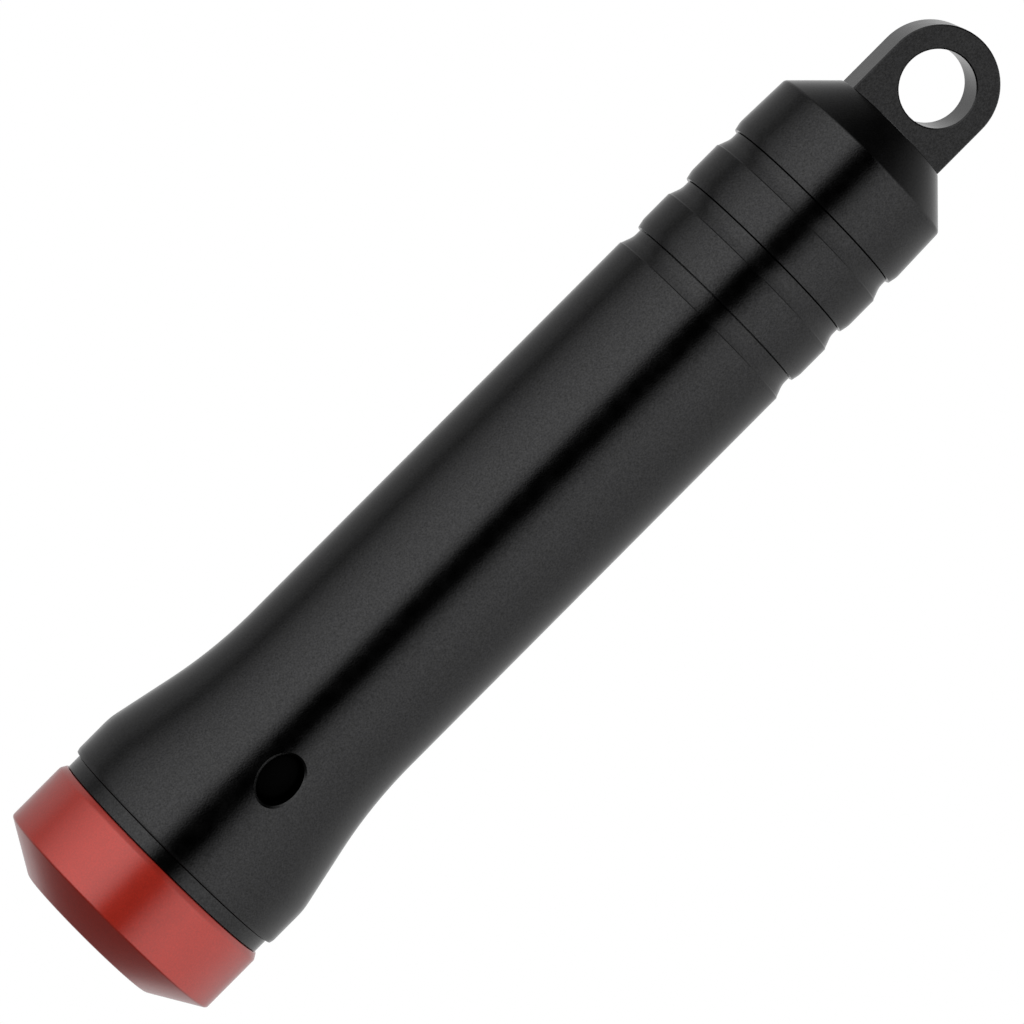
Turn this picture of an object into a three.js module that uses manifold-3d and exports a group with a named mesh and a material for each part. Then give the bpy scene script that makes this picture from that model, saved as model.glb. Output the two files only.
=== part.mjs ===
// Keychain flashlight for one AAA cell, in millimetres.
// The axis of the tube is Z: the nose stands on z = 0, the key-ring lug is at the top,
// and the side switch and the flat of the lug face -Y.
import * as THREE from "three";
import { mergeVertices } from "three/addons/utils/BufferGeometryUtils.js";
import Module from "manifold-3d";

const wasm = await Module();
wasm.setup();

// ---------- driving dimensions ----------

// Gaps between neighbours
const seat = 0.05; // between faces that rest on each other
const slip = 0.1; // round a piece that drops into a bore
const threadGap = 0.05; // radial gap between a thread's two plain cylinders
const seamGap = 0.05; // between the screwed-up end faces

// Cell
const cellLength = 44.5;
const cellRadius = 5.15;
const cellPlay = 0.2; // radial play of the cell in the tube
const jacketThickness = 0.1;
const jacketGap = 0.02; // between the can and its jacket
const jacketLip = 0.5; // how far the jacket turns in over the can's ends
const canBead = 0.4; // rounded edge of the can
const nubRadius = 2.75;
const nubHeight = 0.95;
const nubEdge = 0.2;
const coverMargin = 1.45; // from the cell's skin to its negative cover
const coverInset = 0.3; // from the cover's face to the can's rolled edge
const coverDepth = 1.1;
const sealRing = 0.5; // width of the nylon seal round the cover

// Tube and head
const tubeWall = 1.65;
const headStep = 1.66; // how much larger the head is than the tube, on the radius
const headCylinder = 4.0; // from the head's front face to the start of the flare
const flareLength = 11.2;
const flareSlope = THREE.MathUtils.degToRad(12.1); // half angle of the flare's cone
const neckWall = 1.15; // wall of the threaded neck that the bezel screws on
const bezelWall = 1.16; // wall of the bezel round that neck
const reliefDepth = 0.35; // shallow groove behind the bezel
const reliefLength = 0.96;
const lineDepth = 0.12; // fine tool line at the edge of each groove
const lineWidth = 0.08;
const edgeRise = 0.12; // short shoulder beside that line

// Bezel
const bezelLength = 6.65;
const noseRing = 0.58; // width of the flat nose ring
const noseHeight = 2.0; // height of the nose chamfer
const lipThickness = 1.3;
const rearChamfer = 0.25;
const rearChamferLength = 0.4;
const lensRing = 1.6; // how far the lens reaches past the window
const lensLap = 0.7; // how far it laps over the reflector's flange

// Optics
const sealThickness = 0.45;
const lensThickness = 1.4;
const flangeThickness = 0.5;
const reflectorDepth = 4.8; // behind its flange
const reflectorThroat = 1.9;
const reflectorRim = 0.6; // wall of the reflector at its mouth
const reflectorStraight = 1.2;
const throatWall = 0.8;
const ledSize = 3.45;
const ledHeight = 0.55;
const domeRadius = 1.4;
const spacerMargin = 0.25; // plastic left outside the emitter's corners

// Boards and heat sink
const ledBoardThickness = 1.0;
const plateThickness = 1.2;
const skirtWall = 1.05;
const driverRoom = 1.45; // height of the space for parts under the plate
const boardThickness = 0.8;
const wireRadius = 0.3;
const wireOffset = 4.4; // wire from the axis
const wireReach = 3.2; // where the wire's tip lies over the pad
const chipSize = [3.9, 4.9, 1.2];
const inductorSize = [2.6, 2.4, 1.1];
const capacitorSize = [1.6, 0.8, 0.8];
const inductorOffset = 3.8;
const capacitorOffset = 3.7;
const capacitorSpacing = 1.3;

// Side switch
const switchWidth = 2.7; // of the oval hole, round the tube
const switchHeight = 3.55; // of the oval hole, along the tube
const switchGap = 0.15;
const switchRecess = 1.3; // how far the plunger's face lies below the tube's skin
const switchTravel = 0.5;
const lipWidth = 0.75; // plunger flange past each side of the hole
const plungerLip = 0.4; // thickness of that flange
const plungerPlay = 0.5; // room left in the bay, above and below the flange together
const stemRadius = 0.75;
const stemLength = 1.35;
const stemReveal = 0.75; // length of stem outside the switch body
const stemGap = 0.1;
const switchBody = [4.2, 1.6, 3.4];
const switchBay = 3.9; // from the driver board to the contact board
const switchBoardInset = 1.15; // from the bore to each end of the upright board

// Positive contact
const contactRoom = 1.3; // working height of the contact spring
const positiveWire = 0.25; // radius of its wire
const positiveRadii = [2.2, 1.2]; // at the board and at the nub
const positiveTurns = 2;
const holderWall = 2.0;
const holderStop = 0.45; // gap from the holder's rim to the cell's shoulder

// Tail
const springRoom = 3.4; // working height of the tail spring
const tailWire = 0.35; // radius of its wire
const tailRadii = [2.6, 4.4]; // at the cell and at the contact disc
const tailTurns = 3;
const tailContactThickness = 0.35;
const tailNeckWall = 0.85;
const tailNeckLength = 6.45;
const tailNeckPlay = 0.2; // from the neck's end to the step in the cap
const capCavityWall = 1.45; // wall of the cap beside the spring
const capEnd = 1.05; // from the cavity's end to the shoulder's edge
const capTaper = 0.12; // on the radius, from the last groove to the shoulder
const sealLand = 2.1; // length of the cap's mouth that runs over the O-ring
const sealStep = 0.15;
const grooveDepth = 0.35;
const grooveFloor = 1.17;
const grooveRamp = 0.33;
const grooveRise = 0.38; // rounded shoulder on the lug side of each groove
const groovePitch = 4.36;
const grooveToShoulder = 4.33; // from the last groove's line to the shoulder
const shoulderAngle = THREE.MathUtils.degToRad(45.8);
const lugWidth = 7.86;
const lugThickness = 3.4;
const lugHeight = 7.93; // above the shoulder's flat top
const lugHole = 2.525;
const lugHoleDrop = 0.22; // hole's centre below the centre of the round end

// O-rings
const ringRadius = 0.26;
const ringSqueeze = 0.03; // gap left round each O-ring
const headRingSetback = 0.55; // from the head's front face to the ring's centre
const tailRingSetback = 1.1;

// Smoothness
const roundSteps = 56;
const innerSteps = 36;
const smallSteps = 24;
const tinySteps = 12;
const coilSteps = 16; // along each turn of a spring
const leadSteps = 12; // along each of the emitter's wires

// ---------- places worked out from them ----------

const tubeBore = cellRadius + cellPlay;
const tubeRadius = tubeBore + tubeWall;
const headRadius = tubeRadius + headStep;
const bezelBore = headRadius - bezelWall;
const neckRadius = bezelBore - threadGap;
const headBore = neckRadius - neckWall;
const reflectorRadius = headBore - slip;
const reflectorMouth = reflectorRadius - reflectorRim;
const lensRadius = reflectorMouth + lensLap;
const windowRadius = lensRadius - lensRing;
const noseRadius = windowRadius + noseRing;

// Up the stack from the nose
const sealFront = lipThickness + seat;
const lensFront = sealFront + sealThickness + seat;
const flangeFront = lensFront + lensThickness + seat;
const neckFront = flangeFront + flangeThickness + seat;
const reflectorBack = flangeFront + flangeThickness + reflectorDepth;
const spacerFront = reflectorBack + seat;
const ledBoardFront = spacerFront + ledHeight + seat;
const plateFront = ledBoardFront + ledBoardThickness + seat;
const cavityFront = plateFront + plateThickness;
const driverFront = cavityFront + driverRoom + seat;
const driverBack = driverFront + boardThickness;
const boreShoulder = driverBack + 2 * seat;
const switchCentre = driverBack + switchBay / 2;
const contactFront = driverBack + switchBay + seat;
const contactBack = contactFront + boardThickness;
const cellFront = contactBack + seat + contactRoom + seat;
const cellBack = cellFront + cellLength;
const tailContactFront = cellBack + seat + springRoom + seat;
const cavityEnd = tailContactFront + tailContactThickness + seat;

// Outside
const headFront = bezelLength + seamGap;
const flareStart = headFront + headCylinder;
const flareEnd = flareStart + flareLength;
const shoulder = cavityEnd + capEnd;
const lastLine = shoulder - grooveToShoulder;
const seam = lastLine - 2 * groovePitch;
const shoulderRadius = tubeRadius - capTaper;
const lugHalf = lugWidth / 2;
const topRadius = Math.hypot(lugHalf, lugThickness / 2);
const topFlat = shoulder + (shoulderRadius - topRadius) * Math.tan(shoulderAngle);
const lugTop = topFlat + lugHeight;
const lugCentre = lugTop - lugHalf;

// Tail joint
const tailNeckRadius = tubeBore + tailNeckWall;
const capThreadBore = tailNeckRadius + threadGap;
const capSealBore = capThreadBore + sealStep;
const tailNeckEnd = seam + tailNeckLength;
const capCavityRadius = tubeRadius - capCavityWall;
const coverRadius = cellRadius - coverMargin;
const sealRadius = coverRadius + slip / 2 + sealRing;

// O-rings: the floor under each comes from the bore that squeezes it
const headRingFloor = bezelBore - 2 * ringRadius - 2 * ringSqueeze;
const tailRingFloor = capSealBore - 2 * ringRadius - 2 * ringSqueeze;
const headRingCentre = headRingFloor + ringSqueeze + ringRadius;
const tailRingCentre = tailRingFloor + ringSqueeze + ringRadius;

// Side switch, from the tube's bore inwards: the flange's corners just clear the bore
const plungerHalf = switchWidth / 2 + lipWidth;
const plungerFront = -Math.sqrt((tubeBore - slip) ** 2 - plungerHalf ** 2);
const plungerBack = plungerFront + plungerLip;
const switchFace = plungerBack + seat + stemReveal;
const switchBoardFront = switchFace + switchBody[1] + seat;
const switchBoardHeight = switchBay - seat;
const switchBoardWidth = 2 * (tubeBore - switchBoardInset);
const driverRadius = headBore - seat - skirtWall - slip;

// ---------- shapes ----------

// A closed geometry as a manifold-3d solid: only positions, with shared corners merged.
function solidOf(geometry) {
  const bare = geometry.clone();
  bare.deleteAttribute("normal");
  bare.deleteAttribute("uv");
  const merged = mergeVertices(bare);
  return new wasm.Manifold(
    new wasm.Mesh({
      numProp: 3,
      vertProperties: merged.attributes.position.array,
      triVerts: new Uint32Array(merged.index.array),
    }),
  );
}

// A manifold-3d solid as a three.js geometry with flat normals.
function geometryOf(solid) {
  const { vertProperties, triVerts } = solid.getMesh();
  const geometry = new THREE.BufferGeometry();
  geometry.setAttribute("position", new THREE.BufferAttribute(vertProperties, 3));
  geometry.setIndex(new THREE.BufferAttribute(triVerts, 1));
  const flat = geometry.toNonIndexed();
  flat.computeVertexNormals();
  return flat;
}

// Revolves [radius, height] points round Z. The profile runs counter-clockwise:
// up its outside and down its inside.
function turned(profile, steps = roundSteps) {
  const points = profile.map(([radius, height]) => new THREE.Vector2(radius, height));
  const onAxis = points[0].x === 0 && points[points.length - 1].x === 0;
  if (!onAxis) points.push(points[0].clone());
  return new THREE.LatheGeometry(points, steps).rotateX(Math.PI / 2);
}

// A disc or a plain ring between two heights.
function ring(inner, outer, low, high, steps = smallSteps) {
  const inside = inner === 0 ? [[0, low]] : [[inner, low]];
  return turned([...inside, [outer, low], [outer, high], [inner, high]], steps);
}

// Extrudes an outline drawn in X and Z along Y, between two values of Y.
function extrudedAlongY(outline, near, far, curveSegments = smallSteps) {
  const geometry = new THREE.ExtrudeGeometry(outline, {
    depth: far - near,
    bevelEnabled: false,
    curveSegments,
  });
  return geometry.rotateX(Math.PI / 2).translate(0, far, 0);
}

// Extrudes an outline drawn in X and Y upwards, between two heights.
function extrudedUp(outline, low, high) {
  const geometry = new THREE.ExtrudeGeometry(outline, {
    depth: high - low,
    bevelEnabled: false,
    curveSegments: tinySteps,
  });
  return geometry.translate(0, 0, low);
}

// A block given by its size and its centre.
function block([width, depth, height], x, y, z) {
  return new THREE.BoxGeometry(width, depth, height).translate(x, y, z);
}

function oval(width, height, centre) {
  return new THREE.Shape().absellipse(0, centre, width / 2, height / 2, 0, 2 * Math.PI);
}

function circle(radius, x, y) {
  return new THREE.Shape().absarc(x, y, radius, 0, 2 * Math.PI);
}

// A round wire along a curve. A sweep may come out inside out, so its faces are turned
// when its volume is negative.
function wireAlong(curve, radius, steps, sides = 6) {
  const section = new THREE.Shape(
    Array.from({ length: sides }, (_, i) => {
      const angle = (2 * Math.PI * i) / sides;
      return new THREE.Vector2(radius * Math.cos(angle), radius * Math.sin(angle));
    }),
  );
  const geometry = new THREE.ExtrudeGeometry(section, {
    steps,
    extrudePath: curve,
    bevelEnabled: false,
  });
  const solid = solidOf(geometry);
  if (solid.volume() > 0) return geometry;
  const { array } = geometry.attributes.position;
  for (let i = 0; i < array.length; i += 9) {
    for (let k = 0; k < 3; k += 1) {
      [array[i + k], array[i + 3 + k]] = [array[i + 3 + k], array[i + k]];
    }
  }
  return geometry;
}

// A conical spring whose wire rises from one radius to another, with flat end turns.
class SpringCurve extends THREE.Curve {
  constructor([lowRadius, highRadius], low, high, turns) {
    super();
    Object.assign(this, { lowRadius, highRadius, low, high, turns });
  }

  getPoint(t, target = new THREE.Vector3()) {
    const flat = 0.5 / this.turns; // half a flat turn at each end
    const rise = THREE.MathUtils.clamp((t - flat) / (1 - 2 * flat), 0, 1);
    const radius = THREE.MathUtils.lerp(this.lowRadius, this.highRadius, t);
    const angle = 2 * Math.PI * this.turns * t;
    const height = THREE.MathUtils.lerp(this.low, this.high, rise);
    return target.set(radius * Math.cos(angle), radius * Math.sin(angle), height);
  }
}

// Profile points of a groove, from the nose side up to its line and the shoulder past it.
function grooveBelow(line, radius) {
  return [
    [radius, line - grooveFloor - grooveRamp],
    [radius - grooveDepth, line - grooveFloor],
  ];
}

function grooveAbove(line, radius) {
  return [
    [radius - grooveDepth, line - lineWidth],
    [radius - grooveDepth - lineDepth, line - lineWidth / 2],
    [radius - grooveDepth + edgeRise, line],
    [radius, line + grooveRise],
  ];
}

// The groove that seats an O-ring on a neck, as profile points going up.
function ringSeat(neck, floor, centre) {
  const half = ringRadius + 2 * ringSqueeze;
  return [
    [neck, centre - half],
    [floor, centre - half],
    [floor, centre + half],
    [neck, centre + half],
  ];
}

function oRing(centreRadius, centre) {
  return new THREE.TorusGeometry(centreRadius, ringRadius, 6, innerSteps).translate(0, 0, centre);
}

// ---------- materials ----------

const material = (color, roughness, metalness) =>
  new THREE.MeshStandardMaterial({ color, roughness, metalness });

const redAnodised = material(0xa62a24, 0.38, 0.6);
const blackAnodised = material(0x1b1b1c, 0.42, 0.5);
const clearGlass = material(0xdfe8ea, 0.05, 0);
const mirrorPlated = material(0xe8e8e6, 0.08, 1);
const whiteNylon = material(0xe9e7e0, 0.5, 0);
const ceramic = material(0xf0efe9, 0.4, 0);
const phosphor = material(0xe8c33a, 0.35, 0);
const boardWhite = material(0xe4e5e2, 0.4, 0);
const boardGreen = material(0x1d5a36, 0.45, 0);
const rawAluminium = material(0xb9bbbd, 0.35, 1);
const blackRubber = material(0x101010, 0.75, 0);
const blackPlastic = material(0x17181a, 0.5, 0);
const epoxy = material(0x1a1a1b, 0.6, 0);
const ferrite = material(0x3d3a38, 0.7, 0);
const capacitorTan = material(0xb08a5c, 0.5, 0);
const steel = material(0xb4b5b6, 0.3, 1);
const goldPlated = material(0xd9ab4c, 0.25, 1);
const jacketGreen = material(0x2f6d58, 0.35, 0.1);
const redWire = material(0xb3261f, 0.5, 0);
const blackWire = material(0x1a1a1a, 0.5, 0);

// ---------- pieces ----------

const flashlight = new THREE.Group();

function piece(name, geometry, finish, x = 0, y = 0, z = 0) {
  const mesh = new THREE.Mesh(geometry, finish);
  mesh.name = name;
  mesh.position.set(x, y, z);
  flashlight.add(mesh);
}

// Screw-on bezel: a chamfered nose ring, a lip for the lens and a threaded skirt.
function bezel() {
  const lensSeat = lensRadius + slip;
  const thread = flangeFront - seat;
  return turned([
    [windowRadius, 0],
    [noseRadius, 0],
    [headRadius, noseHeight],
    [headRadius, bezelLength - rearChamferLength],
    [headRadius - rearChamfer, bezelLength],
    [bezelBore, bezelLength],
    [bezelBore, thread],
    [lensSeat, thread],
    [lensSeat, lipThickness],
    [windowRadius, lipThickness],
  ]);
}

// Reflector: a flange that the bezel clamps on the neck, and a parabola behind it.
function reflector() {
  const fourFocus =
    (reflectorMouth ** 2 - reflectorThroat ** 2) / (reflectorBack - flangeFront);
  const apex = reflectorBack + reflectorThroat ** 2 / fourFocus;
  const steps = 10;
  const bowl = Array.from({ length: steps + 1 }, (_, i) => {
    const radius = THREE.MathUtils.lerp(reflectorThroat, reflectorMouth, i / steps);
    return [radius, apex - radius ** 2 / fourFocus];
  });
  return turned(
    [
      [neckRadius - seat, flangeFront],
      [neckRadius - seat, flangeFront + flangeThickness],
      [reflectorRadius, flangeFront + flangeThickness],
      [reflectorRadius, flangeFront + flangeThickness + reflectorStraight],
      [reflectorThroat + throatWall, reflectorBack],
      ...bowl,
    ],
    innerSteps,
  );
}

// Heat sink: a plate under the emitter's board, with a skirt round the driver board.
function heatSink() {
  const outer = headBore - seat;
  const skirt = outer - skirtWall;
  const solid = solidOf(
    turned(
      [
        [0, plateFront],
        [outer, plateFront],
        [outer, driverBack + seat],
        [skirt, driverBack + seat],
        [skirt, cavityFront],
        [0, cavityFront],
      ],
      innerSteps,
    ),
  );
  return geometryOf(solid.subtract(wireHoles(plateFront, cavityFront)));
}

// Two clearance holes for the emitter's wires.
function wireHoles(low, high) {
  const radius = wireRadius + slip;
  const over = 0.5; // past each face
  const [left, right] = [-wireOffset, wireOffset].map((x) =>
    solidOf(extrudedUp(circle(radius, x, 0), low - over, high + over)),
  );
  return left.add(right);
}

function ledBoard() {
  const back = ledBoardFront + ledBoardThickness;
  const disc = solidOf(ring(0, headBore - slip, ledBoardFront, back, innerSteps));
  return geometryOf(disc.subtract(wireHoles(ledBoardFront, back)));
}

// Nylon ring that centres the reflector on the emitter.
function ledSpacer() {
  const outer = reflectorThroat + throatWall;
  const hole = ledSize + 2 * seat;
  const height = ledHeight;
  const rim = Math.max(outer, hole / Math.SQRT2 + spacerMargin);
  const disc = solidOf(ring(0, rim, spacerFront, spacerFront + height));
  const square = block([hole, hole, 3 * height], 0, 0, spacerFront + height / 2);
  return geometryOf(disc.subtract(solidOf(square)));
}

// Emitter dome: a quarter circle revolved, flat side on the base.
function ledDome() {
  const steps = 6;
  const arc = Array.from({ length: steps + 1 }, (_, i) => {
    const angle = (Math.PI / 2) * (i / steps);
    return [domeRadius * Math.sin(angle), -domeRadius * Math.cos(angle)];
  });
  arc[0][0] = 0;
  return turned([...arc, [0, 0]], smallSteps);
}

// A wire from the driver board through both plates, bent over onto the emitter's pad.
function ledWire(side) {
  const tip = ledBoardFront - wireRadius - seat;
  const bend = 0.6;
  const path = new THREE.CatmullRomCurve3(
    [
      [wireOffset, driverFront - seat],
      [wireOffset, plateFront],
      [wireOffset, tip + bend],
      [wireOffset - bend / 2, tip],
      [wireReach, tip],
    ].map(([x, z]) => new THREE.Vector3(side * x, 0, z)),
    false,
    "catmullrom",
    0.3,
  );
  return wireAlong(path, wireRadius, leadSteps);
}

// Black tube with its flared head, threaded at both ends, with the oval switch hole.
function bodyTube() {
  const threadChamfer = 0.15;
  const relief = headRadius - reliefDepth;
  const lineAt = headFront + reliefLength;
  const headRing = headFront - headRingSetback;
  const tailRing = seam + tailRingSetback;
  const endFace = seam - seamGap;
  const outline = [
    [headBore, neckFront],
    [neckRadius - threadChamfer, neckFront],
    [neckRadius, neckFront + threadChamfer],
    ...ringSeat(neckRadius, headRingFloor, headRing),
    [neckRadius, headFront],
    [relief, headFront],
    [relief, lineAt],
    [relief - lineDepth, lineAt + lineWidth / 2],
    [relief + edgeRise, lineAt + lineWidth],
    [headRadius, lineAt + 2 * lineWidth + edgeRise],
    ...flare(),
    ...grooveBelow(seam, tubeRadius),
    [tubeRadius - grooveDepth, endFace],
    [tailNeckRadius, endFace],
    ...ringSeat(tailNeckRadius, tailRingFloor, tailRing),
    [tailNeckRadius, tailNeckEnd - threadChamfer],
    [tailNeckRadius - threadChamfer, tailNeckEnd],
    [tubeBore, tailNeckEnd],
    [tubeBore, boreShoulder],
    [headBore, boreShoulder],
  ];
  const hole = extrudedAlongY(oval(switchWidth, switchHeight, switchCentre), -2 * headRadius, 0);
  return geometryOf(solidOf(turned(outline)).subtract(solidOf(hole)));
}

// The head's cylinder runs into a cone, then into an arc that ends along the tube.
function flare() {
  const drop = headStep;
  const arcRadius =
    (flareLength * Math.tan(flareSlope) - drop) /
    (Math.sin(flareSlope) * Math.tan(flareSlope) - 1 + Math.cos(flareSlope));
  const steps = 7;
  const arc = Array.from({ length: steps + 1 }, (_, i) => {
    const angle = flareSlope * (1 - i / steps);
    return [
      tubeRadius + arcRadius * (1 - Math.cos(angle)),
      flareEnd - arcRadius * Math.sin(angle),
    ];
  });
  return [[headRadius, flareStart], ...arc];
}

// Screw cap: seal land and thread inside, two grooves and the shoulder outside, and the lug.
function tailCap() {
  const middleLine = lastLine - groovePitch;
  const body = turned([
    [0, cavityEnd],
    [capCavityRadius, cavityEnd],
    [capCavityRadius, tailNeckEnd + tailNeckPlay],
    [capThreadBore, tailNeckEnd + tailNeckPlay],
    [capThreadBore, seam + sealLand],
    [capSealBore, seam + sealLand - sealStep],
    [capSealBore, seam],
    [tubeRadius - grooveDepth + edgeRise, seam],
    [tubeRadius, seam + grooveRise],
    ...grooveBelow(middleLine, tubeRadius),
    ...grooveAbove(middleLine, tubeRadius),
    ...grooveBelow(lastLine, tubeRadius),
    ...grooveAbove(lastLine, tubeRadius),
    [shoulderRadius, shoulder],
    [topRadius, topFlat],
    [0, topFlat],
  ]);
  const sunk = 0.5; // how far the lug's root reaches into the cap
  const outline = new THREE.Shape();
  outline.moveTo(-lugHalf, topFlat - sunk);
  outline.lineTo(lugHalf, topFlat - sunk);
  outline.absarc(0, lugCentre, lugHalf, 0, Math.PI);
  outline.closePath();
  const keyHole = new THREE.Path().absarc(0, lugCentre - lugHoleDrop, lugHole, 0, 2 * Math.PI);
  outline.holes.push(keyHole);
  const lug = extrudedAlongY(outline, -lugThickness / 2, lugThickness / 2, smallSteps);
  return geometryOf(solidOf(body).add(solidOf(lug)));
}

// Plunger of the side switch: an oval button with a flange that keeps it in the tube.
function switchPlunger() {
  const face = -(skinAt(switchCentre) - switchRecess);
  const height = switchBay - plungerPlay;
  const flange = block(
    [2 * plungerHalf, plungerLip, height],
    0,
    plungerBack - plungerLip / 2,
    switchCentre,
  );
  const button = extrudedAlongY(
    oval(switchWidth - 2 * switchGap, switchHeight - 2 * switchGap, switchCentre),
    face,
    plungerBack - plungerLip / 2,
    tinySteps,
  );
  return geometryOf(solidOf(flange).add(solidOf(button)));
}

// Outer radius of the flared head at a height.
function skinAt(height) {
  const line = flare();
  const above = line.findIndex(([, z]) => z >= height);
  if (above <= 0) return above === 0 ? headRadius : tubeRadius;
  const [[r0, z0], [r1, z1]] = [line[above - 1], line[above]];
  return THREE.MathUtils.mapLinear(height, z0, z1, r0, r1);
}

function switchHousing() {
  const [, depth] = switchBody;
  const centre = switchFace + depth / 2;
  const well = stemLength - stemReveal + switchTravel + stemGap;
  const shell = solidOf(block(switchBody, 0, centre, switchCentre));
  const hole = new THREE.Shape().absarc(0, switchCentre, stemRadius + stemGap, 0, 2 * Math.PI);
  const cut = extrudedAlongY(hole, switchFace - 1, switchFace + well, tinySteps);
  return geometryOf(shell.subtract(solidOf(cut)));
}

function switchStem() {
  const section = new THREE.Shape().absarc(0, switchCentre, stemRadius, 0, 2 * Math.PI);
  const tip = plungerBack + seat;
  return extrudedAlongY(section, tip, tip + stemLength, tinySteps);
}

// Cup behind the contact spring that centres the cell's nub.
function contactHolder() {
  const outer = tubeBore - slip;
  const rim = cellFront + nubHeight - holderStop;
  return ring(outer - holderWall, outer, contactBack + seat, rim, innerSteps);
}

// Steel can with the raised nub at its front and a recess for the seal at its back.
function cellCan() {
  const outer = cellRadius - jacketThickness - 2 * jacketGap;
  return turned(
    [
      [0, cellFront],
      [nubRadius - nubEdge, cellFront],
      [nubRadius, cellFront + nubEdge],
      [nubRadius, cellFront + nubHeight],
      [outer - canBead, cellFront + nubHeight],
      [outer, cellFront + nubHeight + canBead],
      [outer, cellBack - coverInset - seat],
      [sealRadius + slip / 2, cellBack - coverInset - seat],
      [sealRadius + slip / 2, cellBack - coverDepth - seat],
      [0, cellBack - coverDepth - seat],
    ],
    innerSteps,
  );
}

function cellJacket() {
  const front = cellFront + nubHeight - jacketThickness - seat;
  const back = cellBack - coverInset + jacketThickness;
  const inner = cellRadius - jacketThickness;
  return turned(
    [
      [inner - jacketLip - canBead, front],
      [cellRadius - canBead, front],
      [cellRadius, front + canBead],
      [cellRadius, back],
      [inner - jacketLip, back],
      [inner - jacketLip, back - jacketThickness],
      [inner, back - jacketThickness],
      [inner, front + jacketThickness + canBead],
      [inner - canBead, front + jacketThickness],
      [inner - jacketLip - canBead, front + jacketThickness],
    ],
    innerSteps,
  );
}

// ---------- the assembly, from the nose up ----------

piece("bezel", bezel(), redAnodised);
piece("lens_seal", ring(windowRadius, lensRadius, sealFront, sealFront + sealThickness), blackRubber);
piece("lens", ring(0, lensRadius, lensFront, lensFront + lensThickness, innerSteps), clearGlass);
piece("reflector", reflector(), mirrorPlated);
piece("led_spacer", ledSpacer(), whiteNylon);
piece("led_base", block([ledSize, ledSize, ledHeight], 0, 0, spacerFront + ledHeight / 2), ceramic);
piece("led_dome", ledDome(), phosphor, 0, 0, spacerFront - seat);
piece("led_board", ledBoard(), boardWhite);
piece("heat_sink", heatSink(), rawAluminium);
piece("led_wire_positive", ledWire(1), redWire);
piece("led_wire_negative", ledWire(-1), blackWire);

piece("driver_board", ring(0, driverRadius, driverFront, driverBack, innerSteps), boardGreen);
const onDriver = ([width, depth, height], x, y) =>
  block([width, depth, height], x, y, driverFront - seat - height / 2);
piece("driver_chip", onDriver(chipSize, 0, 0), epoxy);
piece("inductor", onDriver(inductorSize, 0, inductorOffset), ferrite);
piece("capacitor_input", onDriver(capacitorSize, -capacitorSpacing, -capacitorOffset), capacitorTan);
piece("capacitor_output", onDriver(capacitorSize, capacitorSpacing, -capacitorOffset), capacitorTan);

piece(
  "switch_board",
  block(
    [switchBoardWidth, boardThickness, switchBoardHeight],
    0,
    switchBoardFront + boardThickness / 2,
    driverBack + seat + switchBoardHeight / 2,
  ),
  boardGreen,
);
piece("switch_body", switchHousing(), blackPlastic);
piece("switch_stem", switchStem(), whiteNylon);
piece("switch_plunger", switchPlunger(), blackRubber);

piece("contact_board", ring(0, tubeBore - slip, contactFront, contactBack, innerSteps), boardGreen);
piece("contact_holder", contactHolder(), blackPlastic);
const positiveCurve = new SpringCurve(
  positiveRadii,
  contactBack + seat + positiveWire,
  contactBack + seat + contactRoom - positiveWire,
  positiveTurns,
);
piece("positive_spring", wireAlong(positiveCurve, positiveWire, positiveTurns * coilSteps), goldPlated);

piece("body_tube", bodyTube(), blackAnodised);
piece("head_oring", oRing(headRingCentre, headFront - headRingSetback), blackRubber);

piece("cell_can", cellCan(), steel);
piece("cell_jacket", cellJacket(), jacketGreen);
piece(
  "cell_seal",
  ring(coverRadius + slip / 2, sealRadius, cellBack - coverDepth, cellBack - coverInset),
  whiteNylon,
);
piece("cell_cover", ring(0, coverRadius, cellBack - coverDepth, cellBack), steel);

const tailCurve = new SpringCurve(
  tailRadii,
  cellBack + seat + tailWire,
  tailContactFront - seat - tailWire,
  tailTurns,
);
piece("tail_spring", wireAlong(tailCurve, tailWire, tailTurns * coilSteps), steel);
piece(
  "tail_contact",
  ring(0, capCavityRadius - slip, tailContactFront, tailContactFront + tailContactThickness),
  goldPlated,
);
piece("tail_oring", oRing(tailRingCentre, seam + tailRingSetback), blackRubber);
piece("tail_cap", tailCap(), blackAnodised);

export default flashlight;
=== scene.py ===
"""Looks of a keychain flashlight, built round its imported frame: shells, optics, switch, cell and studio."""

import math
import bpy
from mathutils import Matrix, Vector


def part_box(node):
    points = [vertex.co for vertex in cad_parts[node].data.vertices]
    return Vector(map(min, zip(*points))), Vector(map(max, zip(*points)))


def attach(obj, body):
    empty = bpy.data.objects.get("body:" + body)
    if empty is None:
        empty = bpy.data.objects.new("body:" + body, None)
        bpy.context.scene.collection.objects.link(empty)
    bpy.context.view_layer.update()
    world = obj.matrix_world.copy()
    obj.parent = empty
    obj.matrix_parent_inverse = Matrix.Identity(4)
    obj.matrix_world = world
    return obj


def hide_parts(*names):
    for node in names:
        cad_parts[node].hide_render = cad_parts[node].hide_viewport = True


bl_info = {
    "name": "Keychain Flashlight",
    "version": (1, 0, 0),
    "blender": (4, 5, 0),
    "location": "View3D > Sidebar > Flashlight",
    "description": "Builds the finished pieces of a one-cell keychain flashlight",
    "category": "Add Mesh",
}

import bmesh
import bpy
from bpy.props import FloatProperty, FloatVectorProperty, IntProperty, PointerProperty
from mathutils import Matrix, Vector

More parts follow.
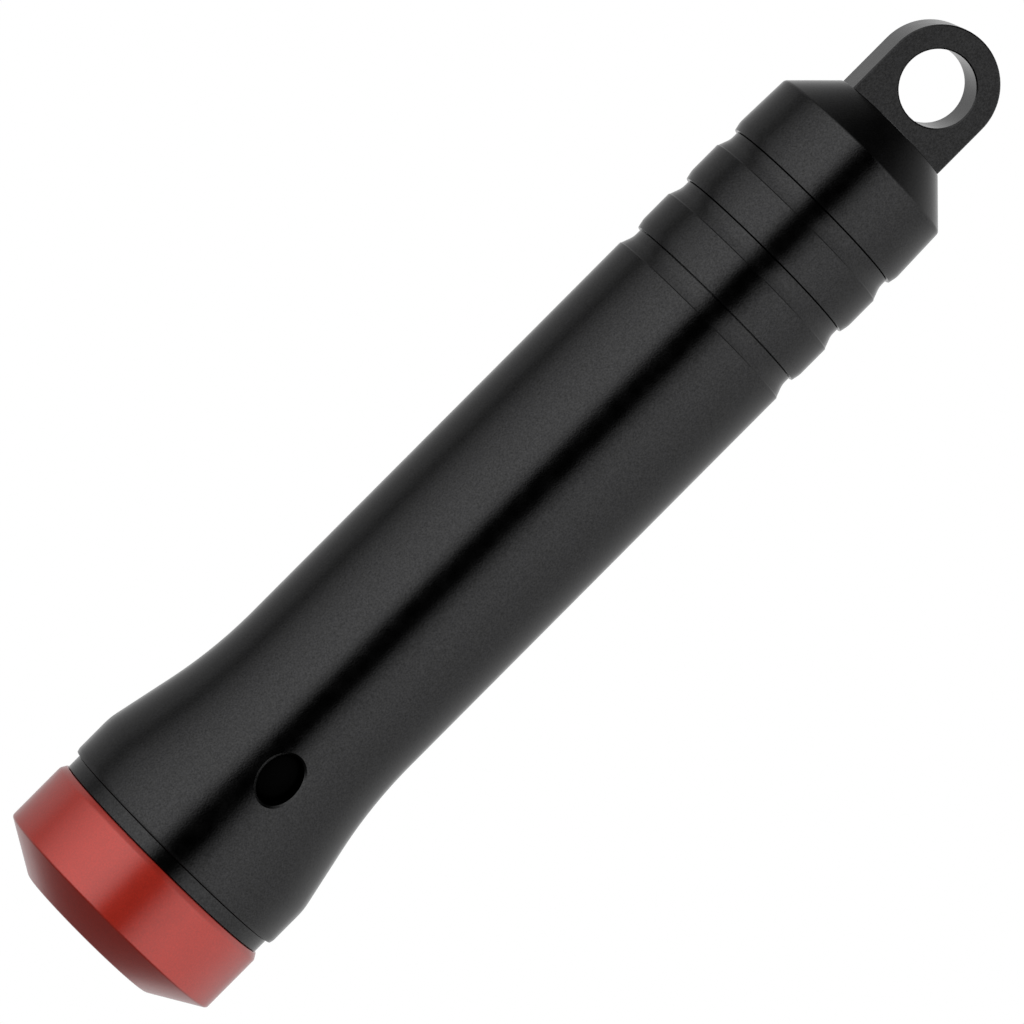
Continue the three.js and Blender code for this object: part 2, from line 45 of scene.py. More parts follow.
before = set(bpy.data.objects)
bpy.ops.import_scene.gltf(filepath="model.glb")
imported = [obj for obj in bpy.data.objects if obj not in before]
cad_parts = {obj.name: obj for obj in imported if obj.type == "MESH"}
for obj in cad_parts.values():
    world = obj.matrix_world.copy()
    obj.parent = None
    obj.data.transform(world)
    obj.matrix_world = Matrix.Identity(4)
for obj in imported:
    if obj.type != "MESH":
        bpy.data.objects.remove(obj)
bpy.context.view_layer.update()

MM = 0.001
SEAT = 0.05 * MM  # gap between faces that rest on each other
TAU = 2 * math.pi
ON_AXIS = 1e-9  # a radius below this is a pole


def low(node):
    """Lowest height of a CAD node."""
    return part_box(node)[0].z


def high(node):
    """Highest height of a CAD node."""
    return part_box(node)[1].z


def middle(node):
    """Middle height of a CAD node."""
    return (low(node) + high(node)) / 2


def radius(node):
    """Outer radius of a turned CAD node."""
    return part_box(node)[1].x


# ---------------------------------------------------------------- properties


def length(name, description, default):
    """A length property whose default is in metres."""
    return FloatProperty(
        name=name, description=description, default=default, min=0.0, unit="LENGTH", precision=5
    )


def angle_of(name, description, degrees):
    """An angle property whose default is in degrees."""
    return FloatProperty(name=name, description=description, default=math.radians(degrees), subtype="ANGLE")


def colour(name, description, default):
    """A colour property in linear red, green and blue."""
    return FloatVectorProperty(
        name=name, description=description, default=default, subtype="COLOR", size=3, min=0.0, max=1.0
    )


class FlashlightSizes(bpy.types.PropertyGroup):
    """Sizes of the flashlight's pieces"""

    head_radius: length("Head radius", "Radius of the bezel and the head", radius("bezel"))
    tube_radius: length("Tube radius", "Radius of the plain tube", radius("tail_cap"))
    bezel_length: length("Bezel length", "From the nose to the bezel's rear edge", high("bezel"))
    nose_height: length("Nose height", "Height of the nose chamfer", 2.0 * MM)
    window_radius: length("Window radius", "Radius of the opening in front of the lens", 4.7 * MM)
    nose_ring: length("Nose ring", "Width of the flat ring at the nose", 0.58 * MM)
    head_cylinder: length("Head cylinder", "Length of the straight part of the head", 4.0 * MM)
    flare_length: length("Flare length", "From the head's straight part to the plain tube", 11.2 * MM)
    flare_slope: angle_of("Flare slope", "Half angle of the cone in the flare", 12.1)
    relief_depth: length("Relief depth", "Depth of the relief behind the bezel", 0.35 * MM)
    relief_length: length("Relief length", "Length of the relief behind the bezel", 0.96 * MM)
    groove_depth: length("Groove depth", "Depth of each tail groove", 0.35 * MM)
    groove_floor: length("Groove floor", "Length of each groove's floor", 1.17 * MM)
    groove_ramp: length("Groove ramp", "Length of each groove's gentle side", 0.33 * MM)
    groove_rise: length("Groove rise", "Length of each groove's rounded shoulder", 0.58 * MM)
    groove_pitch: length("Groove pitch", "Distance from groove to groove", 4.36 * MM)
    line_depth: length("Tool line depth", "Depth of the fine line at each groove's edge", 0.12 * MM)
    line_width: length("Tool line width", "Width of that line", 0.08 * MM)
    edge_rise: length("Edge rise", "Height of the step beside that line", 0.22 * MM)
    shoulder_drop: length("Shoulder drop", "From the last groove's line to the shoulder", 4.41 * MM)
    shoulder_taper: length("Shoulder taper", "How much the cap narrows before the shoulder", 0.12 * MM)
    lug_width: length("Lug width", "Width of the key-ring lug", 7.86 * MM)
    lug_thickness: length("Lug thickness", "Thickness of the key-ring lug", 3.4 * MM)
    lug_height: length("Lug height", "Height of the lug above the shoulder", 7.93 * MM)
    lug_hole: length("Lug hole radius", "Radius of the key-ring hole", 2.525 * MM)
    lug_hole_drop: length("Lug hole drop", "Hole's centre below the centre of the round end", 0.22 * MM)
    hole_width: length("Switch hole width", "Width of the oval hole round the tube", 2.7 * MM)
    hole_height: length("Switch hole height", "Height of the oval hole along the tube", 3.55 * MM)
    thread_pitch: length("Thread pitch", "Pitch of both screw threads", 0.75 * MM)
    segments: IntProperty(
        name="Segments", description="Steps round each turned piece", default=224, min=48, max=512
    )


class FlashlightColours(bpy.types.PropertyGroup):
    """Colours of the flashlight's finishes"""

    red: colour("Bezel dye", "Dye of the red anodising", (0.52, 0.021, 0.0065))
    black: colour("Body dye", "Sheen of the black anodising", (0.040, 0.040, 0.0405))
    # also the light colour that paints a highlight along broken edges, beside the rubbed aluminium
    bare: colour("Bare metal", "Aluminium under worn anodising", (0.55, 0.55, 0.56))
    rubber: colour("Rubber", "Seals and the switch plunger", (0.006, 0.006, 0.006))
    board: colour("Solder mask", "Green of the circuit boards", (0.012, 0.10, 0.035))
    sleeve: colour("Cell sleeve", "Main colour of the cell's sleeve", (0.02, 0.13, 0.10))
    sleeve_band: colour("Sleeve band", "Colour of the band at the cell's front", (0.62, 0.36, 0.12))


class StudioSettings(bpy.types.PropertyGroup):
    """Camera and light of the studio"""

    azimuth: angle_of("Azimuth", "Camera's turn round the tube", -13.8)
    distance: length("Distance", "Camera's distance from the tube", 0.4925)
    height: length("Height", "Camera's height above the nose", 0.0333)
    aim_height: length("Aim height", "Height on the tube that the camera looks at", 0.0379)
    aim_side: length("Aim side", "How far right of the tube's axis the camera looks", 0.21 * MM)
    roll: angle_of("Roll", "Camera's roll, which tips the lug to the right", 44.886)
    lens: FloatProperty(name="Lens", description="Focal length", default=273.1, unit="CAMERA")
    panel_strength: FloatProperty(
        name="Panel strength", description="Brightness of the soft panels", default=1.72, min=0.0
    )


def sizes():
    """The size settings."""
    return bpy.context.scene.flashlight_sizes


def colours():
    """The colour settings."""
    return bpy.context.scene.flashlight_colours


# ---------------------------------------------------------------- meshes


def smooth(mesh, angle=32):
    """Smooth shading with sharp edges past an angle in degrees."""
    mesh.shade_smooth()
    mesh.set_sharp_from_angle(angle=math.radians(angle))
    return mesh


def built_mesh(build):
    """The mesh of a bmesh, which is freed."""
    mesh = bpy.data.meshes.new("shape")
    build.to_mesh(mesh)
    build.free()
    return mesh


def rounded(points, closed=True, steps=4):
    """Rows (radius, height, edge rub and painted highlight, thread depth) of a profile whose corners are
    rounded.

    A point is (radius, height) or (radius, height, fillet). A row passes through as it is.
    """
    rows = []
    count = len(points)
    for i, point in enumerate(points):
        if len(point) == 4:
            rows.append(point)
            continue
        here = Vector(point[:2])
        fillet = point[2] if len(point) > 2 else 0.0
        if fillet == 0.0 or (not closed and i in (0, count - 1)):
            rows.append((here.x, here.y, 0.0, 0.0))
            continue
        before = Vector(points[i - 1][:2]) - here
        after = Vector(points[(i + 1) % count][:2]) - here
        reach = min(fillet, 0.45 * before.length, 0.45 * after.length)
        start = here + before.normalized() * reach
        end = here + after.normalized() * reach
        sharp = after.normalized().cross(before.normalized())  # 1 at a square outer corner
        sharp = min(1.0, max(0.0, 2 * sharp - 1))
        for k in range(steps + 1):
            t = k / steps
            spot = (1 - t) ** 2 * start + 2 * t * (1 - t) * here + t**2 * end
            # the third value is the edge mask: rubbed anodising and a painted edge highlight, strongest at
            # the middle of the fillet
            rows.append((spot.x, spot.y, sharp * math.sin(math.pi * t), 0.0))
    return rows


def thread_rows(wall, start, end, depth):
    """Rows of a screw thread on a wall, fading in and out. A negative depth cuts inwards."""
    rows_per_turn = 8
    count = max(2, round(abs(end - start) / (sizes().thread_pitch / rows_per_turn)))
    rows = []
    for i in range(count + 1):
        t = i / count
        fade = min(1.0, 6 * t, 6 * (1 - t))
        rows.append((wall, start + (end - start) * t, 0.0, depth * fade))
    return rows


def thread_wave(turn):
    """How deep the thread is at a turn: 0 on its flat crest and 1 at its flat root."""
    share = abs(2 * (turn % 1.0) - 1)
    return min(1.0, max(0.0, 1.3 * share - 0.15))


def turned(points, segments=None):
    """Revolves a profile that goes up the outside and down the inside, or from the axis to the axis."""
    closed = points[0][0] > ON_AXIS
    rows = rounded(points, closed)
    segments = segments or sizes().segments
    pitch = sizes().thread_pitch
    vertices, faces, edge_rub_and_highlight, first = [], [], [], []
    for distance, height, rub_and_highlight_share, depth in rows:
        first.append(len(vertices))
        for k in range(1 if distance < ON_AXIS else segments):
            angle = TAU * k / segments
            r = distance + depth * thread_wave(height / pitch - k / segments)
            vertices.append((r * math.cos(angle), r * math.sin(angle), height))
            edge_rub_and_highlight.append(rub_and_highlight_share)
    poles = [row[0] < ON_AXIS for row in rows]
    for i in range(len(rows) if closed else len(rows) - 1):
        j = (i + 1) % len(rows)
        a, b = first[i], first[j]
        for k in range(segments):
            n = (k + 1) % segments
            if poles[i]:
                faces.append((a, b + n, b + k))
            elif poles[j]:
                faces.append((a + k, a + n, b))
            else:
                faces.append((a + k, a + n, b + n, b + k))
    mesh = bpy.data.meshes.new("turned")
    mesh.from_pydata(vertices, [], faces)
    # per-vertex edge mask for rubbed anodising and a painted edge highlight
    attribute = mesh.attributes.new("edge_rub_and_highlight", "FLOAT", "POINT")
    attribute.data.foreach_set("value", edge_rub_and_highlight)
    return smooth(mesh)


def disc(inner, outer, bottom, top, fillet, segments=96):
    """A disc or ring with rounded edges."""
    points = [(outer, bottom, fillet), (outer, top, fillet)]
    if inner > 0:
        points = [(inner, bottom, fillet), *points, (inner, top, fillet)]
    else:
        points = [(0.0, bottom), *points, (0.0, top)]
    return turned(points, segments)


def node_disc(node, fillet, inner=0.0, segments=96):
    """A disc or ring in the place of a CAD node."""
    return disc(inner, radius(node), low(node), high(node), fillet, segments)


def bridge(build, one, two):
    """Joins two rings of as many vertices with faces."""
    count = len(one)
    for k in range(count):
        n = (k + 1) % count
        build.faces.new((one[k], one[n], two[n], two[k]))


def lofted(rings):
    """Joins rings of points, one after another, and closes both ends."""
    build = bmesh.new()
    loops = [[build.verts.new(point) for point in ring] for ring in rings]
    for one, two in zip(loops, loops[1:]):
        bridge(build, one, two)
    build.faces.new(loops[0][::-1])
    build.faces.new(loops[-1])
    bmesh.ops.recalc_face_normals(build, faces=build.faces)
    return smooth(built_mesh(build))


def block(size, centre, edge):
    """A block with rounded edges."""
    build = bmesh.new()
    bmesh.ops.create_cube(build, size=1.0)
    bmesh.ops.scale(build, vec=size, verts=build.verts)
    bmesh.ops.translate(build, vec=centre, verts=build.verts)
    bmesh.ops.bevel(build, geom=build.edges[:], offset=edge, segments=2, affect="EDGES", profile=0.6)
    return smooth(built_mesh(build))


def node_block(node, edge):
    """A rounded block in the place of a CAD node."""
    lowest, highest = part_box(node)
    size = [top - bottom for bottom, top in zip(lowest, highest)]
    return block(size, (lowest + highest) / 2, edge)


def oval_ring(half_width, half_height, centre, depth, count=96):
    """Points of an upright oval. depth is a value of Y, or gives one at each X and Z."""
    ring = []
    for k in range(count):
        angle = TAU * k / count
        x = half_width * math.cos(angle)
        z = centre + half_height * math.sin(angle)
        ring.append((x, depth(x, z) if callable(depth) else depth, z))
    return ring


def linked(name, mesh):
    """A new object in the scene."""
    item = bpy.data.objects.new(name, mesh)
    bpy.context.scene.collection.objects.link(item)
    return item


def settled(item):
    """The plain mesh of an object with its modifiers applied. The object is removed."""
    graph = bpy.context.evaluated_depsgraph_get()
    mesh = bpy.data.meshes.new_from_object(item.evaluated_get(graph))
    item.modifiers.clear()
    bpy.data.objects.remove(item)
    return mesh


def combined(mesh, tool, operation="DIFFERENCE"):
    """The mesh cut by or joined with a tool mesh."""
    item, other = linked("work", mesh), linked("tool", tool)
    step = item.modifiers.new("cut", "BOOLEAN")
    step.operation = operation
    step.solver = "EXACT"
    step.object = other
    result = settled(item)
    bpy.data.objects.remove(other)
    return smooth(result)


def piece(name, mesh, body, slot, *nodes, look=None):
    """Adds a finished piece that rides on a body and stands for CAD nodes. Its look is its slot's."""
    mesh.name = name
    item = linked(name, mesh)
    mesh.materials.clear()
    mesh.materials.append(finish(look or slot))
    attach(item, body)
    if nodes:
        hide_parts(*nodes)


# ---------------------------------------------------------------- nodes


def feed(node, inputs):
    """Sets a node's inputs, by name or place, to values, or links them to other nodes."""
    for key, value in inputs.items():
        if isinstance(value, bpy.types.Node):
            value = value.outputs[0]
        if isinstance(value, bpy.types.NodeSocket):
            node.id_data.links.new(value, node.inputs[key])
        else:
            node.inputs[key].default_value = value


def tree_node(tree, kind, inputs=(), **settings):
    """Adds a node with its settings and inputs."""
    made = tree.nodes.new(kind)
    for key, value in settings.items():
        setattr(made, key, value)
    feed(made, dict(inputs))
    return made


def maths(tree, operation, one, two=0.0):
    """One step of arithmetic."""
    return tree_node(tree, "ShaderNodeMath", {0: one, 1: two}, operation=operation)


def ranged(tree, value, low_out, high_out, low_in=0.0, high_in=1.0, **settings):
    """A value mapped to another range."""
    inputs = {"Value": value, "From Min": low_in, "From Max": high_in, "To Min": low_out, "To Max": high_out}
    return tree_node(tree, "ShaderNodeMapRange", inputs, **settings)


def once(name):
    """Lets a node group's builder run once, and hands out the same group after that."""

    def wrap(build):
        return lambda: bpy.data.node_groups.get(name) or build(name)

    return wrap


# ---------------------------------------------------------------- geometry nodes


def new_tree(name, inputs):
    """A geometry node tree with named inputs, and their sockets."""
    tree = bpy.data.node_groups.new(name, "GeometryNodeTree")
    for label, kind in {"Geometry": "Geometry", **inputs}.items():
        tree.interface.new_socket(label, in_out="INPUT", socket_type="NodeSocket" + kind)
    tree.interface.new_socket("Geometry", in_out="OUTPUT", socket_type="NodeSocketGeometry")
    return tree, tree_node(tree, "NodeGroupInput").outputs


def finish_tree(tree, geometry, material, soft=False):
    """Ends a tree in Realize Instances, smooth shading where it is soft, and Set Material."""
    last = tree_node(tree, "GeometryNodeRealizeInstances", {"Geometry": geometry})
    if soft:
        last = tree_node(tree, "GeometryNodeSetShadeSmooth", {"Geometry": last})
    last = tree_node(tree, "GeometryNodeSetMaterial", {"Geometry": last, "Material": material})
    tree_node(tree, "NodeGroupOutput", {0: last})
    return tree


def grown(tree, values):
    """The plain mesh that a tree makes from values for its named inputs."""
    item = linked("grown", bpy.data.meshes.new("empty"))
    step = item.modifiers.new("grow", "NODES")
    step.node_group = tree
    for socket in tree.interface.items_tree:
        if socket.in_out == "INPUT" and socket.name in values:
            step[socket.identifier] = values[socket.name]
    return settled(item)


@once("Coil Spring")
def spring_tree(name):
    """A conical coil of round wire with flat end turns."""
    numbers = dict.fromkeys(("Turns", "Low Radius", "High Radius", "Low", "High", "Wire Radius"), "Float")
    tree, given = new_tree(name, {**numbers, "Material": "Material"})
    spiral = tree_node(
        tree,
        "GeometryNodeCurveSpiral",
        {
            "Resolution": 48,
            "Rotations": given["Turns"],
            "Start Radius": given["Low Radius"],
            "End Radius": given["High Radius"],
            "Height": 0.0,
        },
    )
    along = tree_node(tree, "GeometryNodeSplineParameter").outputs["Factor"]
    flat = maths(tree, "DIVIDE", 0.5, given["Turns"])
    rest = maths(tree, "SUBTRACT", 1.0, flat)
    rise = ranged(tree, along, given["Low"], given["High"], flat, rest, interpolation_type="SMOOTHSTEP")
    lift = tree_node(tree, "ShaderNodeCombineXYZ", {"Z": rise})
    placed = tree_node(tree, "GeometryNodeSetPosition", {"Geometry": spiral, "Offset": lift})
    section = {"Resolution": 16, "Radius": given["Wire Radius"]}
    section = tree_node(tree, "GeometryNodeCurvePrimitiveCircle", section)
    wire = {"Curve": placed, "Profile Curve": section, "Fill Caps": True}
    wire = tree_node(tree, "GeometryNodeCurveToMesh", wire)
    return finish_tree(tree, wire, given["Material"], soft=True)


def spring(turns, radii, bottom, top, wire, look):
    """A coil whose wire touches the heights bottom and top."""
    return grown(spring_tree(), {
        "Turns": float(turns),
        "Low Radius": radii[0],
        "High Radius": radii[1],
        "Low": bottom + wire,
        "High": top - wire,
        "Wire Radius": wire,
        "Material": finish(look),
    })


@once("Lead Rows")
def row_tree(name):
    """Two rows of small blocks, such as a chip's leads."""
    kinds = {"Count": "Int", "Pitch": "Float", "Spread": "Float", "Size": "Vector", "Place": "Vector"}
    tree, given = new_tree(name, {**kinds, "Material": "Material"})
    lead = tree_node(tree, "GeometryNodeMeshCube", {"Size": given["Size"]})
    span = maths(tree, "MULTIPLY", maths(tree, "SUBTRACT", given["Count"], 1.0), given["Pitch"])
    back = maths(tree, "MULTIPLY", span, -0.5)
    step = tree_node(tree, "ShaderNodeCombineXYZ", {"Y": given["Pitch"]})
    join = tree_node(tree, "GeometryNodeJoinGeometry")
    for side in (-0.5, 0.5):
        over = maths(tree, "MULTIPLY", given["Spread"], side)
        start = tree_node(tree, "ShaderNodeCombineXYZ", {"X": over, "Y": back})
        begin = tree_node(tree, "ShaderNodeVectorMath", {0: start, 1: given["Place"]}, operation="ADD")
        line = {"Count": given["Count"], "Start Location": begin, "Offset": step}
        line = tree_node(tree, "GeometryNodeMeshLine", line)
        copies = tree_node(tree, "GeometryNodeInstanceOnPoints", {"Points": line, "Instance": lead})
        feed(join, {0: copies})
    return finish_tree(tree, join, given["Material"])


@once("Stud Ring")
def ring_tree(name):
    """A ring of round studs, such as plated holes or solder points."""
    numbers = dict.fromkeys(("Ring Radius", "Stud Radius", "Thickness", "Height"), "Float")
    tree, given = new_tree(name, {"Count": "Int", **numbers, "Material": "Material"})
    circle = {"Vertices": given["Count"], "Radius": given["Ring Radius"]}
    circle = tree_node(tree, "GeometryNodeMeshCircle", circle)
    stud = {"Vertices": 16, "Radius": given["Stud Radius"], "Depth": given["Thickness"]}
    stud = tree_node(tree, "GeometryNodeMeshCylinder", stud)
    lift = tree_node(tree, "ShaderNodeCombineXYZ", {"Z": given["Height"]})
    moved = tree_node(tree, "GeometryNodeSetPosition", {"Geometry": circle, "Offset": lift})
    copies = tree_node(tree, "GeometryNodeInstanceOnPoints", {"Points": moved, "Instance": stud})
    return finish_tree(tree, copies, given["Material"])


# ---------------------------------------------------------------- materials

SEEN = (0.3, 0.7)  # the part of a noise's range that its values mostly keep to


def shader_group(name, inputs, outputs):
    """A shader node group of numbers with named sockets, its input sockets and its output node."""
    group = bpy.data.node_groups.new(name, "ShaderNodeTree")
    for label, default in inputs.items():
        socket = group.interface.new_socket(label, in_out="INPUT", socket_type="NodeSocketFloat")
        socket.default_value = default
    for label in outputs:
        group.interface.new_socket(label, in_out="OUTPUT", socket_type="NodeSocketFloat")
    return group, tree_node(group, "NodeGroupInput").outputs, tree_node(group, "NodeGroupOutput")


def place_on(tree):
    """The place on the piece."""
    return tree_node(tree, "ShaderNodeTexCoord").outputs["Object"]


def noise(tree, scale, **more):
    """Noise over the piece."""
    return tree_node(tree, "ShaderNodeTexNoise", {"Vector": place_on(tree), "Scale": scale, **more})


@once("Blast Grain")
def grain_group(name):
    """Fine blasted grain: a height, and a slow mottle from 0 to 1."""
    group, given, result = shader_group(
        name, {"Scale": 8000.0, "Mottle Scale": 900.0}, ("Height", "Mottle")
    )
    feed(result, {
        "Height": noise(group, given["Scale"], Detail=2.0, Roughness=0.6),
        "Mottle": noise(group, given["Mottle Scale"], Detail=3.0),
    })
    return group


@once("Edge Rub")
def edge_rub_highlight_group(name):
    """Where handling has rubbed the finish, with a painted highlight on the same edges: patchy, and only on
    broken edges.
    """
    group, given, result = shader_group(name, {"Amount": 0.4, "Patch Scale": 1500.0}, ("Mask",))
    edge = tree_node(group, "ShaderNodeAttribute", attribute_name="edge_rub_and_highlight").outputs["Fac"]
    patch = ranged(group, noise(group, given["Patch Scale"], Detail=4.0), 0.0, 1.0, 0.52, 0.7)
    both = maths(group, "MULTIPLY", edge, patch)
    feed(result, {"Mask": maths(group, "MULTIPLY", both, given["Amount"])})
    return group


def new_material(name):
    """A slot's material with only a Principled BSDF, its nodes and that shader."""
    made = bpy.data.materials.new(name + "_finish")
    made.use_nodes = True
    return made, made.node_tree, made.node_tree.nodes["Principled BSDF"]


def use_group(tree, group, **inputs):
    """The outputs of a shader group that is placed in a material with its own values."""
    made = tree_node(tree, "ShaderNodeGroup", node_tree=group)
    feed(made, {key.replace("_", " "): value for key, value in inputs.items()})
    return made.outputs


def blend_colour(tree, share, *ends):
    """Mixes two colours by a share."""
    mix = tree_node(tree, "ShaderNodeMix", data_type="RGBA")
    feed(mix, {0: share})
    for place, value in zip((6, 7), ends):
        feed(mix, {place: value if isinstance(value, bpy.types.NodeSocket) else (*value, 1.0)})
    return mix.outputs[2]


def mottled(tree, share, tone, uneven):
    """A colour that varies to both sides of a tone."""
    deep = tuple((1 - uneven) * c for c in tone)
    light = tuple(min(1.0, (1 + uneven) * c) for c in tone)
    return blend_colour(tree, share, deep, light)


def bump(tree, height, distance, strength):
    """A normal from a height."""
    return tree_node(tree, "ShaderNodeBump", {"Height": height, "Distance": distance, "Strength": strength})


def anodised(name, dye, metallic, roughness, uneven, coat=0.0):
    """Dyed anodising over blasted aluminium: fine grain, slow mottle, rubbed edges that also paint a thin
    highlight.
    """
    made, tree, shader = new_material(name)
    blast = use_group(tree, grain_group(), Scale=8500.0, Mottle_Scale=900.0)
    rub_and_highlight_share = use_group(tree, edge_rub_highlight_group(), Amount=0.03, Patch_Scale=1500.0)["Mask"]
    spots = ranged(tree, blast["Height"], 0.0, 1.0, 0.25, 0.75)
    body = mottled(tree, spots, dye, uneven)
    feed(shader, {
        # broken edges blend to bare metal: partly rubbed anodising, partly a painted highlight
        "Base Color": blend_colour(tree, rub_and_highlight_share, body, colours().bare),
        "Roughness": ranged(tree, blast["Mottle"], roughness - 0.03, roughness + 0.03, *SEEN),
        "Metallic": ranged(tree, rub_and_highlight_share, metallic, 1.0),
        "Normal": bump(tree, blast["Height"], 0.01 * MM, 0.5),
    })
    if coat:
        feed(shader, {"Coat Weight": coat, "Coat Roughness": 0.2, "Coat IOR": 1.62})
    return made


def plain(name, tone, roughness, metallic=0.0, grain=6000.0, depth=0.003 * MM, uneven=0.15):
    """A moulded, plated or printed finish with fine grain and slight variation."""
    made, tree, shader = new_material(name)
    blast = use_group(tree, grain_group(), Scale=grain, Mottle_Scale=700.0)
    rough = (max(0.02, roughness - 0.05), roughness + 0.05)
    feed(shader, {
        "Base Color": mottled(tree, blast["Mottle"], tone, uneven),
        "Roughness": ranged(tree, blast["Mottle"], *rough, *SEEN),
        "Metallic": metallic,
        "Normal": bump(tree, blast["Height"], depth, 0.4),
    })
    return made


def shade_painted_rubber(name, tone):
    """Blasted rubber with hardly any shine, darker than its tone: painted shade of the recess that it sits
    in.
    """
    # a quarter of the tone and a specular level of 0.04 paint the recess's shade onto the plunger
    made = plain(name, tuple(0.25 * c for c in tone), 0.85, 0.0, 5000.0, 0.01 * MM, 0.3)
    feed(made.node_tree.nodes["Principled BSDF"], {"Specular IOR Level": 0.04})
    return made


def clear(name, tint, roughness=0.0, index=1.5):
    """Clear glass or silicone."""
    made, _, shader = new_material(name)
    tint = (*tint, 1.0)
    feed(shader, {"Base Color": tint, "Roughness": roughness, "Transmission Weight": 1.0, "IOR": index})
    return made


def machined(name, tone, roughness):
    """Turned bare metal: rings left by the tool."""
    made, tree, shader = new_material(name)
    rings = {"Vector": place_on(tree), "Scale": 1800.0, "Distortion": 0.4, "Detail": 1.0}
    rings = tree_node(tree, "ShaderNodeTexWave", rings, wave_type="RINGS", rings_direction="Z").outputs[1]
    feed(shader, {
        "Base Color": blend_colour(tree, rings, tuple(0.85 * c for c in tone), tone),
        "Roughness": ranged(tree, rings, roughness - 0.06, roughness + 0.06),
        "Metallic": 1.0,
        "Normal": bump(tree, rings, 0.004 * MM, 0.3),
    })
    return made


def printed_sleeve(name):
    """Shrink sleeve of the cell: a gold band at the front, then a plain colour, and a thin line."""
    made, tree, shader = new_material(name)
    along = tree_node(tree, "ShaderNodeSeparateXYZ", {"Vector": place_on(tree)}).outputs["Z"]

    def edge(distance, blur, *ends):
        start = low("cell_jacket") + distance
        return ranged(tree, along, *ends, start, start + blur)

    band = edge(9.9 * MM, 0.1 * MM, 1.0, 0.0)
    line_start = edge(10.5 * MM, 0.05 * MM, 0.0, 1.0)
    line_end = edge(11.0 * MM, 0.05 * MM, 1.0, 0.0)
    share = maths(tree, "MAXIMUM", band, maths(tree, "MULTIPLY", line_start, line_end))
    blast = use_group(tree, grain_group(), Scale=2500.0, Mottle_Scale=300.0)
    feed(shader, {
        "Base Color": blend_colour(tree, share, colours().sleeve, colours().sleeve_band),
        "Roughness": ranged(tree, blast["Mottle"], 0.2, 0.34, *SEEN),
        "Metallic": ranged(tree, share, 0.1, 0.7),
        "Normal": bump(tree, blast["Height"], 0.01 * MM, 0.25),
    })
    return made


def finish(name):
    """A finish by its slot's name, made the first time that it is asked for."""
    found = bpy.data.materials.get(name + "_finish")
    if found:
        return found
    tones = colours()
    # for plain: tone, roughness, metallic, scale of the grain, its depth, unevenness
    looks = {
        "black_anodised": (anodised, tones.black, 1.0, 0.17, 0.38),
        "red_anodised": (anodised, tones.red, 0.65, 0.48, 0.14, 1.0),
        "lens_glass": (clear, (0.97, 0.99, 1.0)),
        "dome_silicone": (clear, (1.0, 0.99, 0.96), 0.02, 1.41),
        "reflector_plating": (plain, (0.86, 0.86, 0.85), 0.07, 1.0, 1500.0, 0.002 * MM, 0.02),
        "matt_rubber": (shade_painted_rubber, tones.rubber),
        "black_rubber": (plain, tones.rubber, 0.6, 0.0, 5000.0, 0.01 * MM, 0.3),
        "white_nylon": (plain, (0.72, 0.71, 0.66), 0.45, 0.0, 3000.0, 0.004 * MM, 0.05),
        "ceramic": (plain, (0.8, 0.79, 0.75), 0.4, 0.0, 9000.0, 0.002 * MM, 0.04),
        "phosphor": (plain, (0.80, 0.56, 0.05), 0.5, 0.0, 12000.0, 0.004 * MM, 0.12),
        "board_white": (plain, (0.7, 0.71, 0.69), 0.3, 0.0, 4000.0, 0.003 * MM, 0.05),
        "board_green": (plain, tones.board, 0.32, 0.0, 2500.0, 0.006 * MM, 0.35),
        "raw_aluminium": (machined, (0.62, 0.63, 0.64), 0.3),
        "red_wire": (plain, (0.42, 0.015, 0.01), 0.42),
        "black_wire": (plain, (0.012, 0.012, 0.013), 0.42),
        "epoxy": (plain, (0.014, 0.014, 0.015), 0.55, 0.0, 9000.0, 0.006 * MM),
        "ferrite": (plain, (0.05, 0.045, 0.042), 0.65, 0.0, 7000.0, 0.01 * MM),
        "capacitor": (plain, (0.38, 0.22, 0.10), 0.45),
        "tinned": (plain, (0.68, 0.67, 0.64), 0.25, 1.0, 3000.0, 0.004 * MM, 0.05),
        "steel": (plain, (0.58, 0.57, 0.55), 0.22, 1.0, 2500.0, 0.003 * MM, 0.05),
        "gold_plate": (plain, (0.83, 0.56, 0.20), 0.2, 1.0, 3000.0, 0.002 * MM, 0.06),
        "black_plastic": (plain, (0.015, 0.015, 0.016), 0.45, 0.0, 4000.0, 0.008 * MM),
        "cell_jacket": (printed_sleeve,),
    }
    maker, *values = looks[name]
    return maker(name, *values)


# ---------------------------------------------------------------- shared shape rules


def head_front():
    """Height of the head's front face, just behind the bezel."""
    return sizes().bezel_length + SEAT


def seam():
    """Height of the joint between the tube and the cap."""
    return low("tail_cap")


def flare_points(steps=20):
    """The head's straight part, its cone and the arc that ends along the tube."""
    size = sizes()
    start = head_front() + size.head_cylinder
    end = start + size.flare_length
    slope = size.flare_slope
    drop = size.head_radius - size.tube_radius
    bend = (size.flare_length * math.tan(slope) - drop) / (
        math.sin(slope) * math.tan(slope) - 1 + math.cos(slope)
    )
    arc = []
    for i in range(steps + 1):
        angle = slope * (1 - i / steps)
        arc.append((size.tube_radius + bend * (1 - math.cos(angle)), end - bend * math.sin(angle)))
    return (size.head_radius, start, 1.2 * MM), arc


def skin_radius(height):
    """Outer radius of the head and flare at a height."""
    corner, arc = flare_points()
    line = [corner[:2], *arc]
    for (r0, z0), (r1, z1) in zip(line, line[1:]):
        if z0 <= height <= z1:
            return r0 + (r1 - r0) * (height - z0) / (z1 - z0)
    return line[0][0] if height < line[0][1] else line[-1][0]


